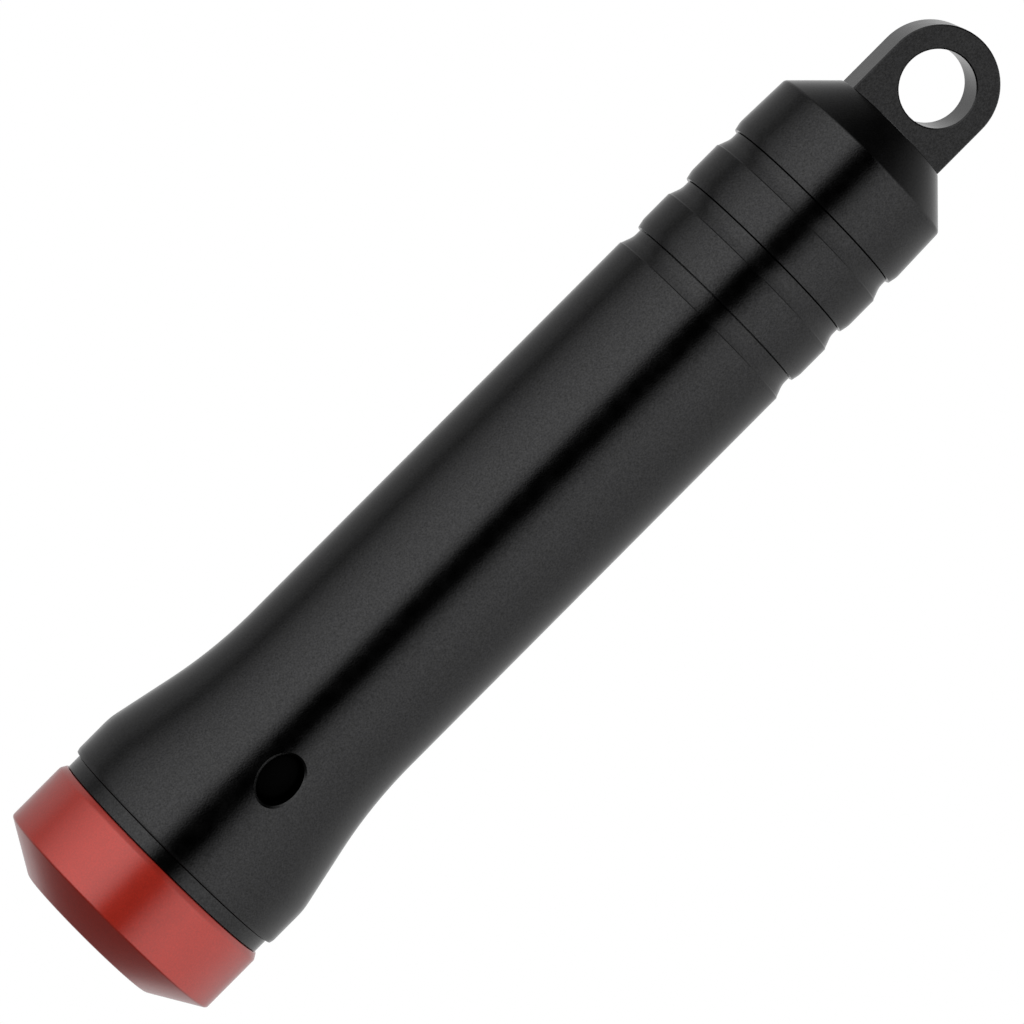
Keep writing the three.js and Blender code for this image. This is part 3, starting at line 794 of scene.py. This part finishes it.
def groove_points(line, wall):
    """A tail groove from its gentle side to the shoulder past its tool line."""
    size = sizes()
    floor = wall - size.groove_depth
    ramp = line - size.groove_floor - size.groove_ramp
    step = 0.05 * MM
    return [
        (wall, ramp, 0.03 * MM),
        (wall - step, ramp + step, 0.03 * MM),
        (floor, line - 0.55 * size.groove_floor, 0.3 * MM),
        (floor, line - size.line_width),
        (floor - size.line_depth, line - size.line_width / 2),
        (floor + size.edge_rise, line, 0.02 * MM),
        (wall, line + size.groove_rise, 0.2 * MM),
    ]


def ring_seat(wall, floor, centre):
    """The channel that seats an O-ring on a neck."""
    half, fillet = 0.32 * MM, 0.04 * MM
    corners = ((wall, -half), (floor, -half), (floor, half), (wall, half))
    return [(distance, centre + rise, fillet) for distance, rise in corners]


# ---------------------------------------------------------------- operators


class PieceOperator:
    """What every operator of this add-on shares"""

    bl_options = {"REGISTER", "UNDO"}

    def execute(self, context):
        """Builds the pieces."""
        self.build(sizes())
        return {"FINISHED"}


class FLASHLIGHT_OT_bezel(PieceOperator, bpy.types.Operator):
    """Screw-on bezel with its chamfered nose"""

    bl_idname = "flashlight.bezel"
    bl_label = "Bezel"

    def build(self, size):
        bore = radius("reflector") + 2 * SEAT
        lens_seat = radius("lens") + 2 * SEAT
        lip = low("lens_seal") - SEAT
        ledge = low("reflector") - SEAT
        head, window = size.head_radius, size.window_radius
        points = [
            (window, 0.0, 0.15 * MM),
            (window + size.nose_ring, 0.0, 0.16 * MM),
            (head, size.nose_height, 0.14 * MM),
            (head, size.bezel_length - 0.4 * MM, 0.12 * MM),
            (head - 0.25 * MM, size.bezel_length, 0.06 * MM),
            (bore, size.bezel_length, 0.1 * MM),
            *thread_rows(bore, size.bezel_length - 0.9 * MM, ledge + 0.5 * MM, 0.22 * MM),
            (bore, ledge),
            (lens_seat, ledge, 0.05 * MM),
            (lens_seat, lip),
            (window, lip, 0.15 * MM),
        ]
        piece("bezel_ring", turned(points), "bezel", "red_anodised", "bezel")


class FLASHLIGHT_OT_tube(PieceOperator, bpy.types.Operator):
    """Black tube with its flared head and the oval switch hole"""

    bl_idname = "flashlight.tube"
    bl_label = "Tube"

    def build(self, size):
        neck = radius("reflector") + SEAT
        tail_neck = radius("tail_oring") - 0.17 * MM
        head_bore = radius("heat_sink") + SEAT
        bore = radius("contact_board") + 2 * SEAT
        nose, front, end = low("body_tube"), head_front(), high("body_tube")
        relief = size.head_radius - size.relief_depth
        line = front + size.relief_length
        head_ring, tail_ring = middle("head_oring"), middle("tail_oring")
        corner, arc = flare_points()
        step = high("heat_sink") + SEAT
        floor = size.tube_radius - size.groove_depth
        top_face = seam() - SEAT
        points = [
            (head_bore, nose, 0.1 * MM),
            (neck, nose, 0.15 * MM),
            *thread_rows(neck, nose + 0.3 * MM, head_ring - 0.45 * MM, -0.25 * MM),
            *ring_seat(neck, neck - 0.55 * MM, head_ring),
            (neck, front),
            (relief, front, 0.05 * MM),
            (relief, line),
            (relief - size.line_depth, line + size.line_width / 2),
            (relief + 0.8 * size.relief_depth, line + size.line_width, 0.02 * MM),
            (size.head_radius, line + 0.35 * MM, 0.1 * MM),
            *[(size.head_radius, line + 0.6 * MM + i * 0.3 * MM) for i in range(4)],
            corner,
            *self.finer(corner, arc),
            *groove_points(seam(), size.tube_radius)[:3],
            (floor, top_face, 0.03 * MM),
            (tail_neck, top_face),
            *ring_seat(tail_neck, tail_neck - 0.42 * MM, tail_ring),
            *thread_rows(tail_neck, tail_ring + 0.6 * MM, end - 0.3 * MM, -0.28 * MM),
            (tail_neck - 0.1 * MM, end, 0.08 * MM),
            (bore, end, 0.15 * MM),
            (bore, step, 0.1 * MM),
            (head_bore, step),
        ]
        shell = combined(turned(points), self.hole(size, bore))
        piece("tube_shell", shell, "tube", "black_anodised", "body_tube")

    @staticmethod
    def finer(corner, arc, count=16):
        """The arc after extra rows on the cone, so that the oval hole cuts small faces."""
        (r0, z0), (r1, z1) = corner[:2], arc[0]
        cone = [(r0 + (r1 - r0) * i / count, z0 + (z1 - z0) * i / count) for i in range(4, count)]
        return [*cone, *arc]

    @staticmethod
    def hole(size, bore):
        """Cutter of the oval hole, flared where it meets the skin."""
        a, b, centre = size.hole_width / 2, size.hole_height / 2, middle("switch_plunger")
        break_edge, over = 0.15 * MM, 0.3 * MM
        wide = break_edge + over

        def skin(sink):
            return lambda x, z: -math.sqrt(max(skin_radius(z) ** 2 - x * x, 0.0)) + sink

        return lofted([
            oval_ring(a, b, centre, -0.6 * bore),  # inside the bore
            oval_ring(a, b, centre, skin(break_edge)),
            oval_ring(a + wide, b + wide, centre, skin(-over)),
            oval_ring(a + wide, b + wide, centre, -1.2 * size.head_radius),  # outside the head
        ])


class FLASHLIGHT_OT_cap(PieceOperator, bpy.types.Operator):
    """Screw cap with two grooves, the shoulder and the key-ring lug"""

    bl_idname = "flashlight.cap"
    bl_label = "Tail cap"

    def build(self, size):
        wall = size.tube_radius
        cavity = radius("tail_contact") + 2 * SEAT
        cavity_end = high("tail_contact") + SEAT
        thread = radius("tail_oring") - 0.12 * MM
        mouth = radius("tail_oring") + 0.03 * MM
        neck_end = high("body_tube") + 4 * SEAT
        lug_half = size.lug_width / 2
        lug_top = high("tail_cap")
        top_flat = lug_top - size.lug_height
        last_line = seam() + 2 * size.groove_pitch
        points = [
            (0.0, cavity_end),
            (cavity, cavity_end, 0.1 * MM),
            (cavity, neck_end, 0.1 * MM),
            (thread, neck_end),
            *thread_rows(thread, neck_end - 0.3 * MM, seam() + 2.4 * MM, 0.22 * MM),
            (mouth, seam() + 1.95 * MM, 0.1 * MM),
            (mouth, seam(), 0.06 * MM),
            (wall - size.groove_depth + size.edge_rise, seam(), 0.03 * MM),
            (wall, seam() + size.groove_rise, 0.2 * MM),
            *groove_points(last_line - size.groove_pitch, wall),
            *groove_points(last_line, wall),
            (wall - size.shoulder_taper, last_line + size.shoulder_drop, 0.14 * MM),
            (math.hypot(lug_half, size.lug_thickness / 2), top_flat, 0.1 * MM),
            (0.0, top_flat),
        ]
        lug = self.lug(size, lug_half, lug_top - lug_half, top_flat)
        shell = combined(turned(points), lug, "UNION")
        piece("cap_shell", shell, "tail_cap", "black_anodised", "tail_cap")

    @staticmethod
    def lug(size, half, centre, root):
        """Flat lug with a round end and a round hole, its edges slightly broken."""
        foot = root - 0.5 * MM  # sunk into the cap
        edge, face = 0.09 * MM, size.lug_thickness / 2
        steps, side, base = 48, 16, 12
        outer = [(half * math.cos(math.pi * k / steps), centre + half * math.sin(math.pi * k / steps))
                 for k in range(steps + 1)]
        outer += [(-half, centre + (foot - centre) * k / side) for k in range(1, side + 1)]
        outer += [(-half + 2 * half * k / base, foot) for k in range(1, base)]
        outer += [(half, foot + (centre - foot) * k / side) for k in range(side)]
        outer = [Vector(point) for point in outer]
        eye = Vector((0.0, centre - size.lug_hole_drop))

        def inset(point):
            """Moves a point of the outline inwards by the broken edge."""
            if point.y >= centre:
                return point - (point - Vector((0.0, centre))).normalized() * edge
            on_side = abs(point.x) > half - ON_AXIS
            return Vector((point.x - math.copysign(edge, point.x) if on_side else point.x, point.y))

        def hole(reach):
            return [eye + (point - eye).normalized() * reach for point in outer]

        near = [inset(point) for point in outer]
        inner, wide = hole(size.lug_hole), hole(size.lug_hole + edge)
        loops = [
            (near, -face), (outer, -face + edge), (outer, face - edge), (near, face),
            (wide, face), (inner, face - edge), (inner, -face + edge), (wide, -face),
        ]
        build = bmesh.new()
        rings = [[build.verts.new((p.x, y, p.y)) for p in loop] for loop, y in loops]
        for one, two in zip(rings, rings[1:] + rings[:1]):
            bridge(build, one, two)
        bmesh.ops.recalc_face_normals(build, faces=build.faces)
        return built_mesh(build)


class FLASHLIGHT_OT_optics(PieceOperator, bpy.types.Operator):
    """Lens, its seal and the reflector"""

    bl_idname = "flashlight.optics"
    bl_label = "Optics"

    def build(self, size):
        piece("lens_disc", node_disc("lens", 0.15 * MM, segments=128), "lens_pack", "lens_glass", "lens")
        seal = node_disc("lens_seal", 0.12 * MM, size.window_radius)
        piece("seal_washer", seal, "lens_pack", "black_rubber", "lens_seal")
        piece("reflector_bowl", turned(self.bowl(), 128), "tube", "reflector_plating", "reflector")

    @staticmethod
    def bowl(steps=28):
        """Profile of the reflector: a flange, a plain back and the parabola."""
        front, back = low("reflector"), high("reflector")
        flange = front + 0.5 * MM
        outer = radius("heat_sink") - SEAT
        mouth, throat = outer - 0.6 * MM, 1.9 * MM
        four_focus = (mouth**2 - throat**2) / (back - front)
        apex = back + throat**2 / four_focus
        curve = [throat + (mouth - throat) * i / steps for i in range(steps + 1)]
        return [
            (radius("reflector"), front, 0.06 * MM),
            (radius("reflector"), flange, 0.06 * MM),
            (outer, flange),
            (outer, flange + 1.2 * MM, 0.1 * MM),
            (throat + 0.8 * MM, back, 0.06 * MM),
            *[(r, apex - r * r / four_focus) for r in curve],
        ]


class FLASHLIGHT_OT_emitter(PieceOperator, bpy.types.Operator):
    """Light emitter, its spacer, board and wires"""

    bl_idname = "flashlight.emitter"
    bl_label = "Emitter"

    def build(self, size):
        square = block((3.5 * MM, 3.5 * MM, 3 * MM), (0, 0, low("led_spacer")), 0.1 * MM)
        spacer = combined(node_disc("led_spacer", 0.05 * MM, 1.75 * MM, 64), square)
        piece("spacer_ring", spacer, "tube", "white_nylon", "led_spacer")
        piece("emitter_base", node_block("led_base", 0.06 * MM), "tube", "ceramic", "led_base")
        place = (0, 0, low("led_base") - 0.02 * MM)
        chip = block((1.7 * MM, 1.7 * MM, 0.035 * MM), place, 0.01 * MM)
        piece("emitter_chip", chip, "tube", "phosphor")
        reach, back, steps = radius("led_dome"), high("led_dome"), 16
        angles = [math.pi / 2 * i / steps for i in range(1, steps + 1)]
        dome = [(reach * math.sin(angle), back - reach * math.cos(angle)) for angle in angles]
        dome = turned([(0.0, low("led_dome")), *dome, (0.0, back)], 64)
        piece("emitter_dome", dome, "tube", "phosphor", "led_dome", look="dome_silicone")
        board = self.drilled(node_disc("led_board", 0.05 * MM), low("led_board"))
        piece("emitter_board", board, "tube", "board_white", "led_board")
        self.wire(1, "positive", "red_wire")
        self.wire(-1, "negative", "black_wire")

    @staticmethod
    def drilled(mesh, height):
        """Cuts the two wire holes."""
        offset = (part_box("led_wire_positive")[1].x + 3.2 * MM) / 2 + 0.465 * MM
        for side in (-1, 1):
            drill = disc(0.0, 0.4 * MM, height - 2 * MM, height + 4 * MM, 0.05 * MM, 32)
            drill.transform(Matrix.Translation((side * offset, 0, 0)))
            mesh = combined(mesh, drill)
        return mesh

    @staticmethod
    def wire(side, name, slot):
        """A wire from the driver board, bent over onto the emitter's pad."""
        node = "led_wire_" + name
        lowest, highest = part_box(node)
        wire = (highest.y - lowest.y) / 2
        far = max(abs(lowest.x), abs(highest.x)) - wire + 0.03 * MM
        near = min(abs(lowest.x), abs(highest.x))
        tip = low("led_board") - wire - SEAT
        bend = 0.6 * MM
        path = [(far, highest.z + (tip + bend - highest.z) * i / 6) for i in range(6)]
        for i in range(9):
            angle = math.pi / 2 * i / 8
            path.append((far - bend + bend * math.cos(angle), tip + bend - bend * math.sin(angle)))
        path.append((near, tip))
        rings = []
        for i, (x, z) in enumerate(path):
            before, after = path[max(i - 1, 0)], path[min(i + 1, len(path) - 1)]
            along = Vector((after[0] - before[0], 0, after[1] - before[1])).normalized()
            across = Vector((along.z, 0, -along.x))
            ring = []
            for k in range(16):
                angle = TAU * k / 16
                round_wire = math.cos(angle) * across + math.sin(angle) * Vector((0, 1, 0))
                spot = Vector((x, 0, z)) + wire * round_wire
                ring.append((side * spot.x, spot.y, spot.z))
            rings.append(ring)
        piece("lead_" + name, lofted(rings), "tube", slot, node)


class FLASHLIGHT_OT_heat_sink(PieceOperator, bpy.types.Operator):
    """Heat sink under the emitter's board"""

    bl_idname = "flashlight.heat_sink"
    bl_label = "Heat sink"

    def build(self, size):
        outer, front, back = radius("heat_sink"), low("heat_sink"), high("heat_sink")
        skirt = radius("driver_board") + 2 * SEAT
        floor = front + 1.2 * MM
        points = [
            (0.0, front),
            (outer, front, 0.15 * MM),
            (outer, back, 0.15 * MM),
            (skirt, back, 0.1 * MM),
            (skirt, floor),
            (0.0, floor),
        ]
        sink = FLASHLIGHT_OT_emitter.drilled(turned(points, 128), front)
        piece("heat_pill", sink, "tube", "raw_aluminium", "heat_sink")


class FLASHLIGHT_OT_driver(PieceOperator, bpy.types.Operator):
    """Driver board with its chip, inductor and capacitors"""

    bl_idname = "flashlight.driver"
    bl_label = "Driver"

    def build(self, size):
        front, back = low("driver_board"), high("driver_board")
        piece("driver_disc", node_disc("driver_board", 0.04 * MM), "tube", "board_green", "driver_board")
        piece("driver_package", node_block("driver_chip", 0.08 * MM), "tube", "epoxy", "driver_chip")
        leads = grown(row_tree(), {
            "Count": 4,
            "Pitch": 1.27 * MM,
            "Spread": 4.5 * MM,
            "Size": (0.6 * MM, 0.4 * MM, 0.15 * MM),
            "Place": (0.0, 0.0, front - 0.12 * MM),
            "Material": finish("tinned"),
        })
        piece("driver_leads", leads, "tube", "steel", look="tinned")
        pads = grown(ring_tree(), {
            "Count": 16,
            "Ring Radius": radius("driver_board") - 0.45 * MM,
            "Stud Radius": 0.22 * MM,
            "Thickness": 0.03 * MM,
            "Height": back + 0.01 * MM,
            "Material": finish("gold_plate"),
        })
        piece("driver_pads", pads, "tube", "gold_plate")
        piece("inductor_core", node_block("inductor", 0.15 * MM), "tube", "ferrite", "inductor")
        for name in ("capacitor_input", "capacitor_output"):
            self.capacitor(name)

    @staticmethod
    def capacitor(node):
        """A chip capacitor with a tinned cap on each end."""
        lowest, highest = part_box(node)
        centre, wide = (lowest + highest) / 2, highest - lowest
        part = block((wide.x - 0.1 * MM, wide.y - 0.04 * MM, wide.z - 0.04 * MM), centre, 0.04 * MM)
        piece(node + "_part", part, "tube", "capacitor", node)
        end = 0.35 * MM
        for side, label in ((-1, "left"), (1, "right")):
            place = centre + Vector((side * (wide.x - end) / 2, 0, 0))
            cap = block((end, wide.y, wide.z), place, 0.05 * MM)
            piece(node + "_" + label, cap, "tube", "steel", look="tinned")


class FLASHLIGHT_OT_switch(PieceOperator, bpy.types.Operator):
    """Side switch: its board, body, stem and plunger"""

    bl_idname = "flashlight.switch"
    bl_label = "Switch"

    def build(self, size):
        board = node_block("switch_board", 0.04 * MM)
        piece("switch_panel", board, "tube", "board_green", "switch_board")
        centre = middle("switch_plunger")

        def circle(reach, depth):
            return oval_ring(reach, reach, centre, depth, 48)

        near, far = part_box("switch_stem")[0].y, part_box("switch_stem")[1].y
        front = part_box("switch_body")[0].y
        well = lofted([circle(0.85 * MM, front - MM), circle(0.85 * MM, far + 0.6 * MM)])
        case = combined(node_block("switch_body", 0.12 * MM), well)
        piece("switch_case", case, "tube", "black_plastic", "switch_body")
        reach, edge = radius("switch_stem"), 0.1 * MM
        pin = lofted([circle(reach - edge, near), circle(reach, near + edge), circle(reach, far)])
        piece("switch_pin", pin, "switch_button", "white_nylon", "switch_stem")
        plunger = self.plunger(size, centre)
        # the plunger takes the rubber with painted shade, so the hole reads black
        piece("switch_cap", plunger, "switch_button", "black_rubber", "switch_plunger", look="matt_rubber")

    @staticmethod
    def plunger(size, centre):
        """Rubber plunger: a softly domed oval face on a wider flange."""
        lowest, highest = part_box("switch_plunger")
        front, back = lowest.y, highest.y
        a = size.hole_width / 2 - 0.15 * MM
        b = size.hole_height / 2 - 0.15 * MM
        flange = back - 0.4 * MM
        dome, steps = 0.3 * MM, 6
        rings = []
        for i in range(1, steps + 1):
            angle = math.pi / 2 * i / steps
            share = 1 - dome / a * (1 - math.sin(angle))
            rings.append(oval_ring(a * share, b * share, centre, front + dome * (1 - math.cos(angle))))
        rings.append(oval_ring(a, b, centre, flange))
        half_width, half_height = highest.x, (highest.z - lowest.z) / 2

        def squared(value, half):
            """Pushes a share of the half size outwards, which squares an oval."""
            power = 0.45
            return math.copysign(abs(value) ** power, value) * half

        def plate(depth, inset=0.0):
            """A rounded rectangle with as many points as the oval."""
            return [
                (squared(x, half_width - inset), depth, centre + squared(z, half_height - inset))
                for x, _, z in oval_ring(1.0, 1.0, 0.0, 0.0)
            ]

        edge = 0.06 * MM
        rings += [plate(flange, edge), plate(flange + edge), plate(back - edge), plate(back, edge)]
        return lofted(rings)


class FLASHLIGHT_OT_contacts(PieceOperator, bpy.types.Operator):
    """Contact board, cell holder and both springs"""

    bl_idname = "flashlight.contacts"
    bl_label = "Contacts"

    def build(self, size):
        board = node_disc("contact_board", 0.04 * MM)
        piece("contact_disc", board, "tube", "board_green", "contact_board")
        holder = node_disc("contact_holder", 0.2 * MM, radius("contact_holder") - 2 * MM)
        piece("cell_holder", holder, "tube", "black_plastic", "contact_holder")
        bottom, top = low("positive_spring"), low("cell_can") - SEAT
        small = spring(2, (2.2 * MM, 1.2 * MM), bottom, top, 0.25 * MM, "gold_plate")
        piece("contact_coil", small, "tube", "gold_plate", "positive_spring")
        bottom, top = high("cell_cover") + SEAT, low("tail_contact") - SEAT
        large = spring(3, (2.6 * MM, 4.4 * MM), bottom, top, 0.35 * MM, "steel")
        piece("tail_coil", large, "tail_stack", "steel", "tail_spring")
        plate = node_disc("tail_contact", 0.08 * MM)
        piece("tail_plate", plate, "tail_stack", "gold_plate", "tail_contact")


class FLASHLIGHT_OT_rings(PieceOperator, bpy.types.Operator):
    """Both O-rings"""

    bl_idname = "flashlight.rings"
    bl_label = "O-rings"

    def build(self, size):
        wire, steps = 0.26 * MM, 20
        for node, name in (("head_oring", "head_seal"), ("tail_oring", "tail_seal")):
            reach, height = radius(node) - wire, middle(node)
            angles = [TAU * k / steps for k in range(steps)]
            section = [(reach + wire * math.cos(angle), height + wire * math.sin(angle)) for angle in angles]
            piece(name, turned(section, 128), "tube", "black_rubber", node)


class FLASHLIGHT_OT_cell(PieceOperator, bpy.types.Operator):
    """The cell: can, sleeve, seal and negative cover"""

    bl_idname = "flashlight.cell"
    bl_label = "Cell"

    def build(self, size):
        front, back, outer = low("cell_can"), high("cell_can"), radius("cell_can")
        nub, shoulder = 2.75 * MM, front + 0.95 * MM
        seal = radius("cell_seal") + SEAT
        deep = low("cell_cover") - SEAT
        can = [
            (0.0, front),
            (nub, front, 0.35 * MM),
            (nub, shoulder, 0.2 * MM),
            (outer, shoulder, 0.5 * MM),
            (outer, back, 0.25 * MM),
            (seal, back, 0.15 * MM),
            (seal, deep),
            (0.0, deep),
        ]
        piece("cell_case", turned(can, 128), "cell", "steel", "cell_can")
        piece("cell_sleeve", turned(self.sleeve(), 160), "cell", "cell_jacket", "cell_jacket")
        gasket = node_disc("cell_seal", 0.1 * MM, radius("cell_cover") + SEAT)
        piece("cell_gasket", gasket, "cell", "white_nylon", "cell_seal")
        rim, bottom, top = radius("cell_cover"), low("cell_cover"), high("cell_cover")
        dish = top - 0.12 * MM
        cover = [
            (0.0, bottom),
            (rim, bottom, 0.1 * MM),
            (rim, top, 0.25 * MM),
            (2.9 * MM, top, 0.15 * MM),
            (2.6 * MM, dish, 0.15 * MM),
            (0.0, dish),
        ]
        piece("cell_lid", turned(cover, 96), "cell", "steel", "cell_cover")

    @staticmethod
    def sleeve():
        """Profile of the thin printed sleeve, turned in over the can's ends."""
        front, back, outer = low("cell_jacket"), high("cell_jacket"), radius("cell_jacket")
        thin = 0.1 * MM
        inner = outer - thin
        front_lip, back_lip = inner - 0.9 * MM, inner - 0.5 * MM
        return [
            (front_lip, front, 0.04 * MM),
            (outer, front, 0.5 * MM),
            (outer, back, 0.3 * MM),
            (back_lip, back, 0.04 * MM),
            (back_lip, back - thin, 0.04 * MM),
            (inner, back - thin, 0.2 * MM),
            (inner, front + thin, 0.4 * MM),
            (front_lip, front + thin, 0.04 * MM),
        ]


# Brightness of the panels round the object, in degrees from the camera, to its right
PANELS_ROUND = (
    (-180, 0.50), (-150, 0.30), (-112, 0.34), (-97, 0.20), (-76, 0.60), (-55, 0.86), (-30, 0.99),
    (-19, 0.96), (-13, 0.70), (-7, 0.10), (-4, 0.0), (15, 0.0), (24, 0.42), (33, 0.72), (50, 0.78),
    (90, 0.62), (120, 0.54), (150, 0.34), (180, 0.50),
)
# Share of the panels' brightness by height above the horizon, in degrees
PANELS_OVER = (
    (-90, 0.0), (-60, 0.0), (-48, 0.12), (-38, 0.5), (-30, 1.0),
    (35, 1.0), (60, 0.42), (75, 0.12), (90, 0.03),
)
# Soft return from below
GLOW_UNDER = ((-90, 0.06), (-50, 0.05), (-20, 0.0), (90, 0.0))


class FLASHLIGHT_OT_studio(bpy.types.Operator):
    """Soft panels all round, a white ground and the camera"""

    bl_idname = "flashlight.studio"
    bl_label = "Studio"

    def execute(self, context):
        """Builds the stage."""
        scene, studio = context.scene, context.scene.flashlight_studio
        scene.view_settings.view_transform = "Standard"
        turn = studio.azimuth
        back = Vector((math.sin(turn), -math.cos(turn), 0))  # level, to the camera's side
        right = Vector((math.cos(turn), math.sin(turn), 0))
        self.world(scene, studio, back, right)
        self.camera(scene, studio, back, right)
        return {"FINISHED"}

    @staticmethod
    def camera(scene, studio, back, right):
        """A long lens, level with the lower tube and rolled so that the lug points up and right."""
        up = Vector((0, 0, 1))
        place = back * studio.distance + up * studio.height
        aim = right * studio.aim_side + up * studio.aim_height
        away = (place - aim).normalized()
        level = up.cross(away).normalized()
        true_up = away.cross(level)
        roll = studio.roll
        x_axis = level * math.cos(roll) + true_up * math.sin(roll)
        y_axis = true_up * math.cos(roll) - level * math.sin(roll)
        data = bpy.data.cameras.new("studio_camera")
        data.lens = studio.lens
        data.sensor_width = 36.0
        data.clip_start = 0.01
        data.clip_end = 10.0
        item = linked("studio_camera", data)
        turn = Matrix((x_axis, y_axis, away)).transposed().to_4x4()
        item.matrix_world = Matrix.Translation(place) @ turn
        scene.camera = item

    def world(self, scene, studio, back, right):
        """Soft panels round the object, with a narrow dark gap at the camera, on a white ground."""
        world = bpy.data.worlds.new("studio_world")
        world.use_nodes = True
        tree = world.node_tree
        tree.nodes.clear()
        place = tree_node(tree, "ShaderNodeTexCoord").outputs["Generated"]

        def along(way):
            dot = tree_node(tree, "ShaderNodeVectorMath", {0: place, 1: way}, operation="DOT_PRODUCT")
            return dot.outputs["Value"]

        turn = maths(tree, "ARCTAN2", along(right), along(back))
        around = self.ramp(tree, turn, math.pi, PANELS_ROUND)
        height = tree_node(tree, "ShaderNodeSeparateXYZ", {"Vector": place}).outputs["Z"]
        tilt = maths(tree, "ARCSINE", height)
        over = self.ramp(tree, tilt, math.pi / 2, PANELS_OVER)
        under = self.ramp(tree, tilt, math.pi / 2, GLOW_UNDER)
        total = maths(tree, "ADD", maths(tree, "MULTIPLY", around, over), under)
        strength = maths(tree, "MULTIPLY", total, studio.panel_strength)
        panels = tree_node(tree, "ShaderNodeBackground", {"Strength": strength})
        ground = tree_node(tree, "ShaderNodeBackground", {"Color": (1, 1, 1, 1), "Strength": 1.0})
        seen = tree_node(tree, "ShaderNodeLightPath").outputs["Is Camera Ray"]
        mix = tree_node(tree, "ShaderNodeMixShader", {0: seen, 1: panels, 2: ground})
        tree_node(tree, "ShaderNodeOutputWorld", {"Surface": mix})
        scene.world = world

    @staticmethod
    def ramp(tree, angle, reach, stops):
        """A brightness that follows (degrees, level) stops, from -reach to reach in radians."""
        node = tree_node(tree, "ShaderNodeValToRGB", {0: ranged(tree, angle, 0.0, 1.0, -reach, reach)})
        elements = node.color_ramp.elements
        while len(elements) > 1:
            elements.remove(elements[-1])
        half = math.degrees(reach)
        for i, (degrees, level) in enumerate(stops):
            share = (degrees + half) / (2 * half)
            spot = elements[0] if i == 0 else elements.new(share)
            spot.position = share
            spot.color = (level, level, level, 1.0)
        return node


# ---------------------------------------------------------------- panel and registration


class FLASHLIGHT_PT_panel(bpy.types.Panel):
    """Lists the flashlight's settings and builders"""

    bl_label = "Keychain Flashlight"
    bl_idname = "FLASHLIGHT_PT_panel"
    bl_space_type = "VIEW_3D"
    bl_region_type = "UI"
    bl_category = "Flashlight"

    def draw(self, context):
        """Draws the settings, then a button for each builder."""
        for place, _ in SETTINGS:
            group = getattr(context.scene, place)
            box = self.layout.box()
            for name in group.bl_rna.properties.keys():
                if name not in ("rna_type", "name"):
                    box.prop(group, name)
        for operator in BUILDERS:
            self.layout.operator(operator.bl_idname)


SETTINGS = (
    ("flashlight_sizes", FlashlightSizes),
    ("flashlight_colours", FlashlightColours),
    ("flashlight_studio", StudioSettings),
)
BUILDERS = (
    FLASHLIGHT_OT_bezel,
    FLASHLIGHT_OT_tube,
    FLASHLIGHT_OT_cap,
    FLASHLIGHT_OT_optics,
    FLASHLIGHT_OT_emitter,
    FLASHLIGHT_OT_heat_sink,
    FLASHLIGHT_OT_driver,
    FLASHLIGHT_OT_switch,
    FLASHLIGHT_OT_contacts,
    FLASHLIGHT_OT_rings,
    FLASHLIGHT_OT_cell,
    FLASHLIGHT_OT_studio,
)


def register():
    """Registers the settings, the builders and the panel."""
    for name, group in SETTINGS:
        bpy.utils.register_class(group)
        setattr(bpy.types.Scene, name, PointerProperty(type=group))
    for item in (*BUILDERS, FLASHLIGHT_PT_panel):
        bpy.utils.register_class(item)


def unregister():
    """Removes them again."""
    for item in (FLASHLIGHT_PT_panel, *reversed(BUILDERS)):
        bpy.utils.unregister_class(item)
    for name, group in reversed(SETTINGS):
        delattr(bpy.types.Scene, name)
        bpy.utils.unregister_class(group)


def main():
    """Builds every piece and the studio."""
    register()
    for builder in BUILDERS:
        family, action = builder.bl_idname.split(".")
        getattr(getattr(bpy.ops, family), action)()


if __name__ == "__main__":
    main()
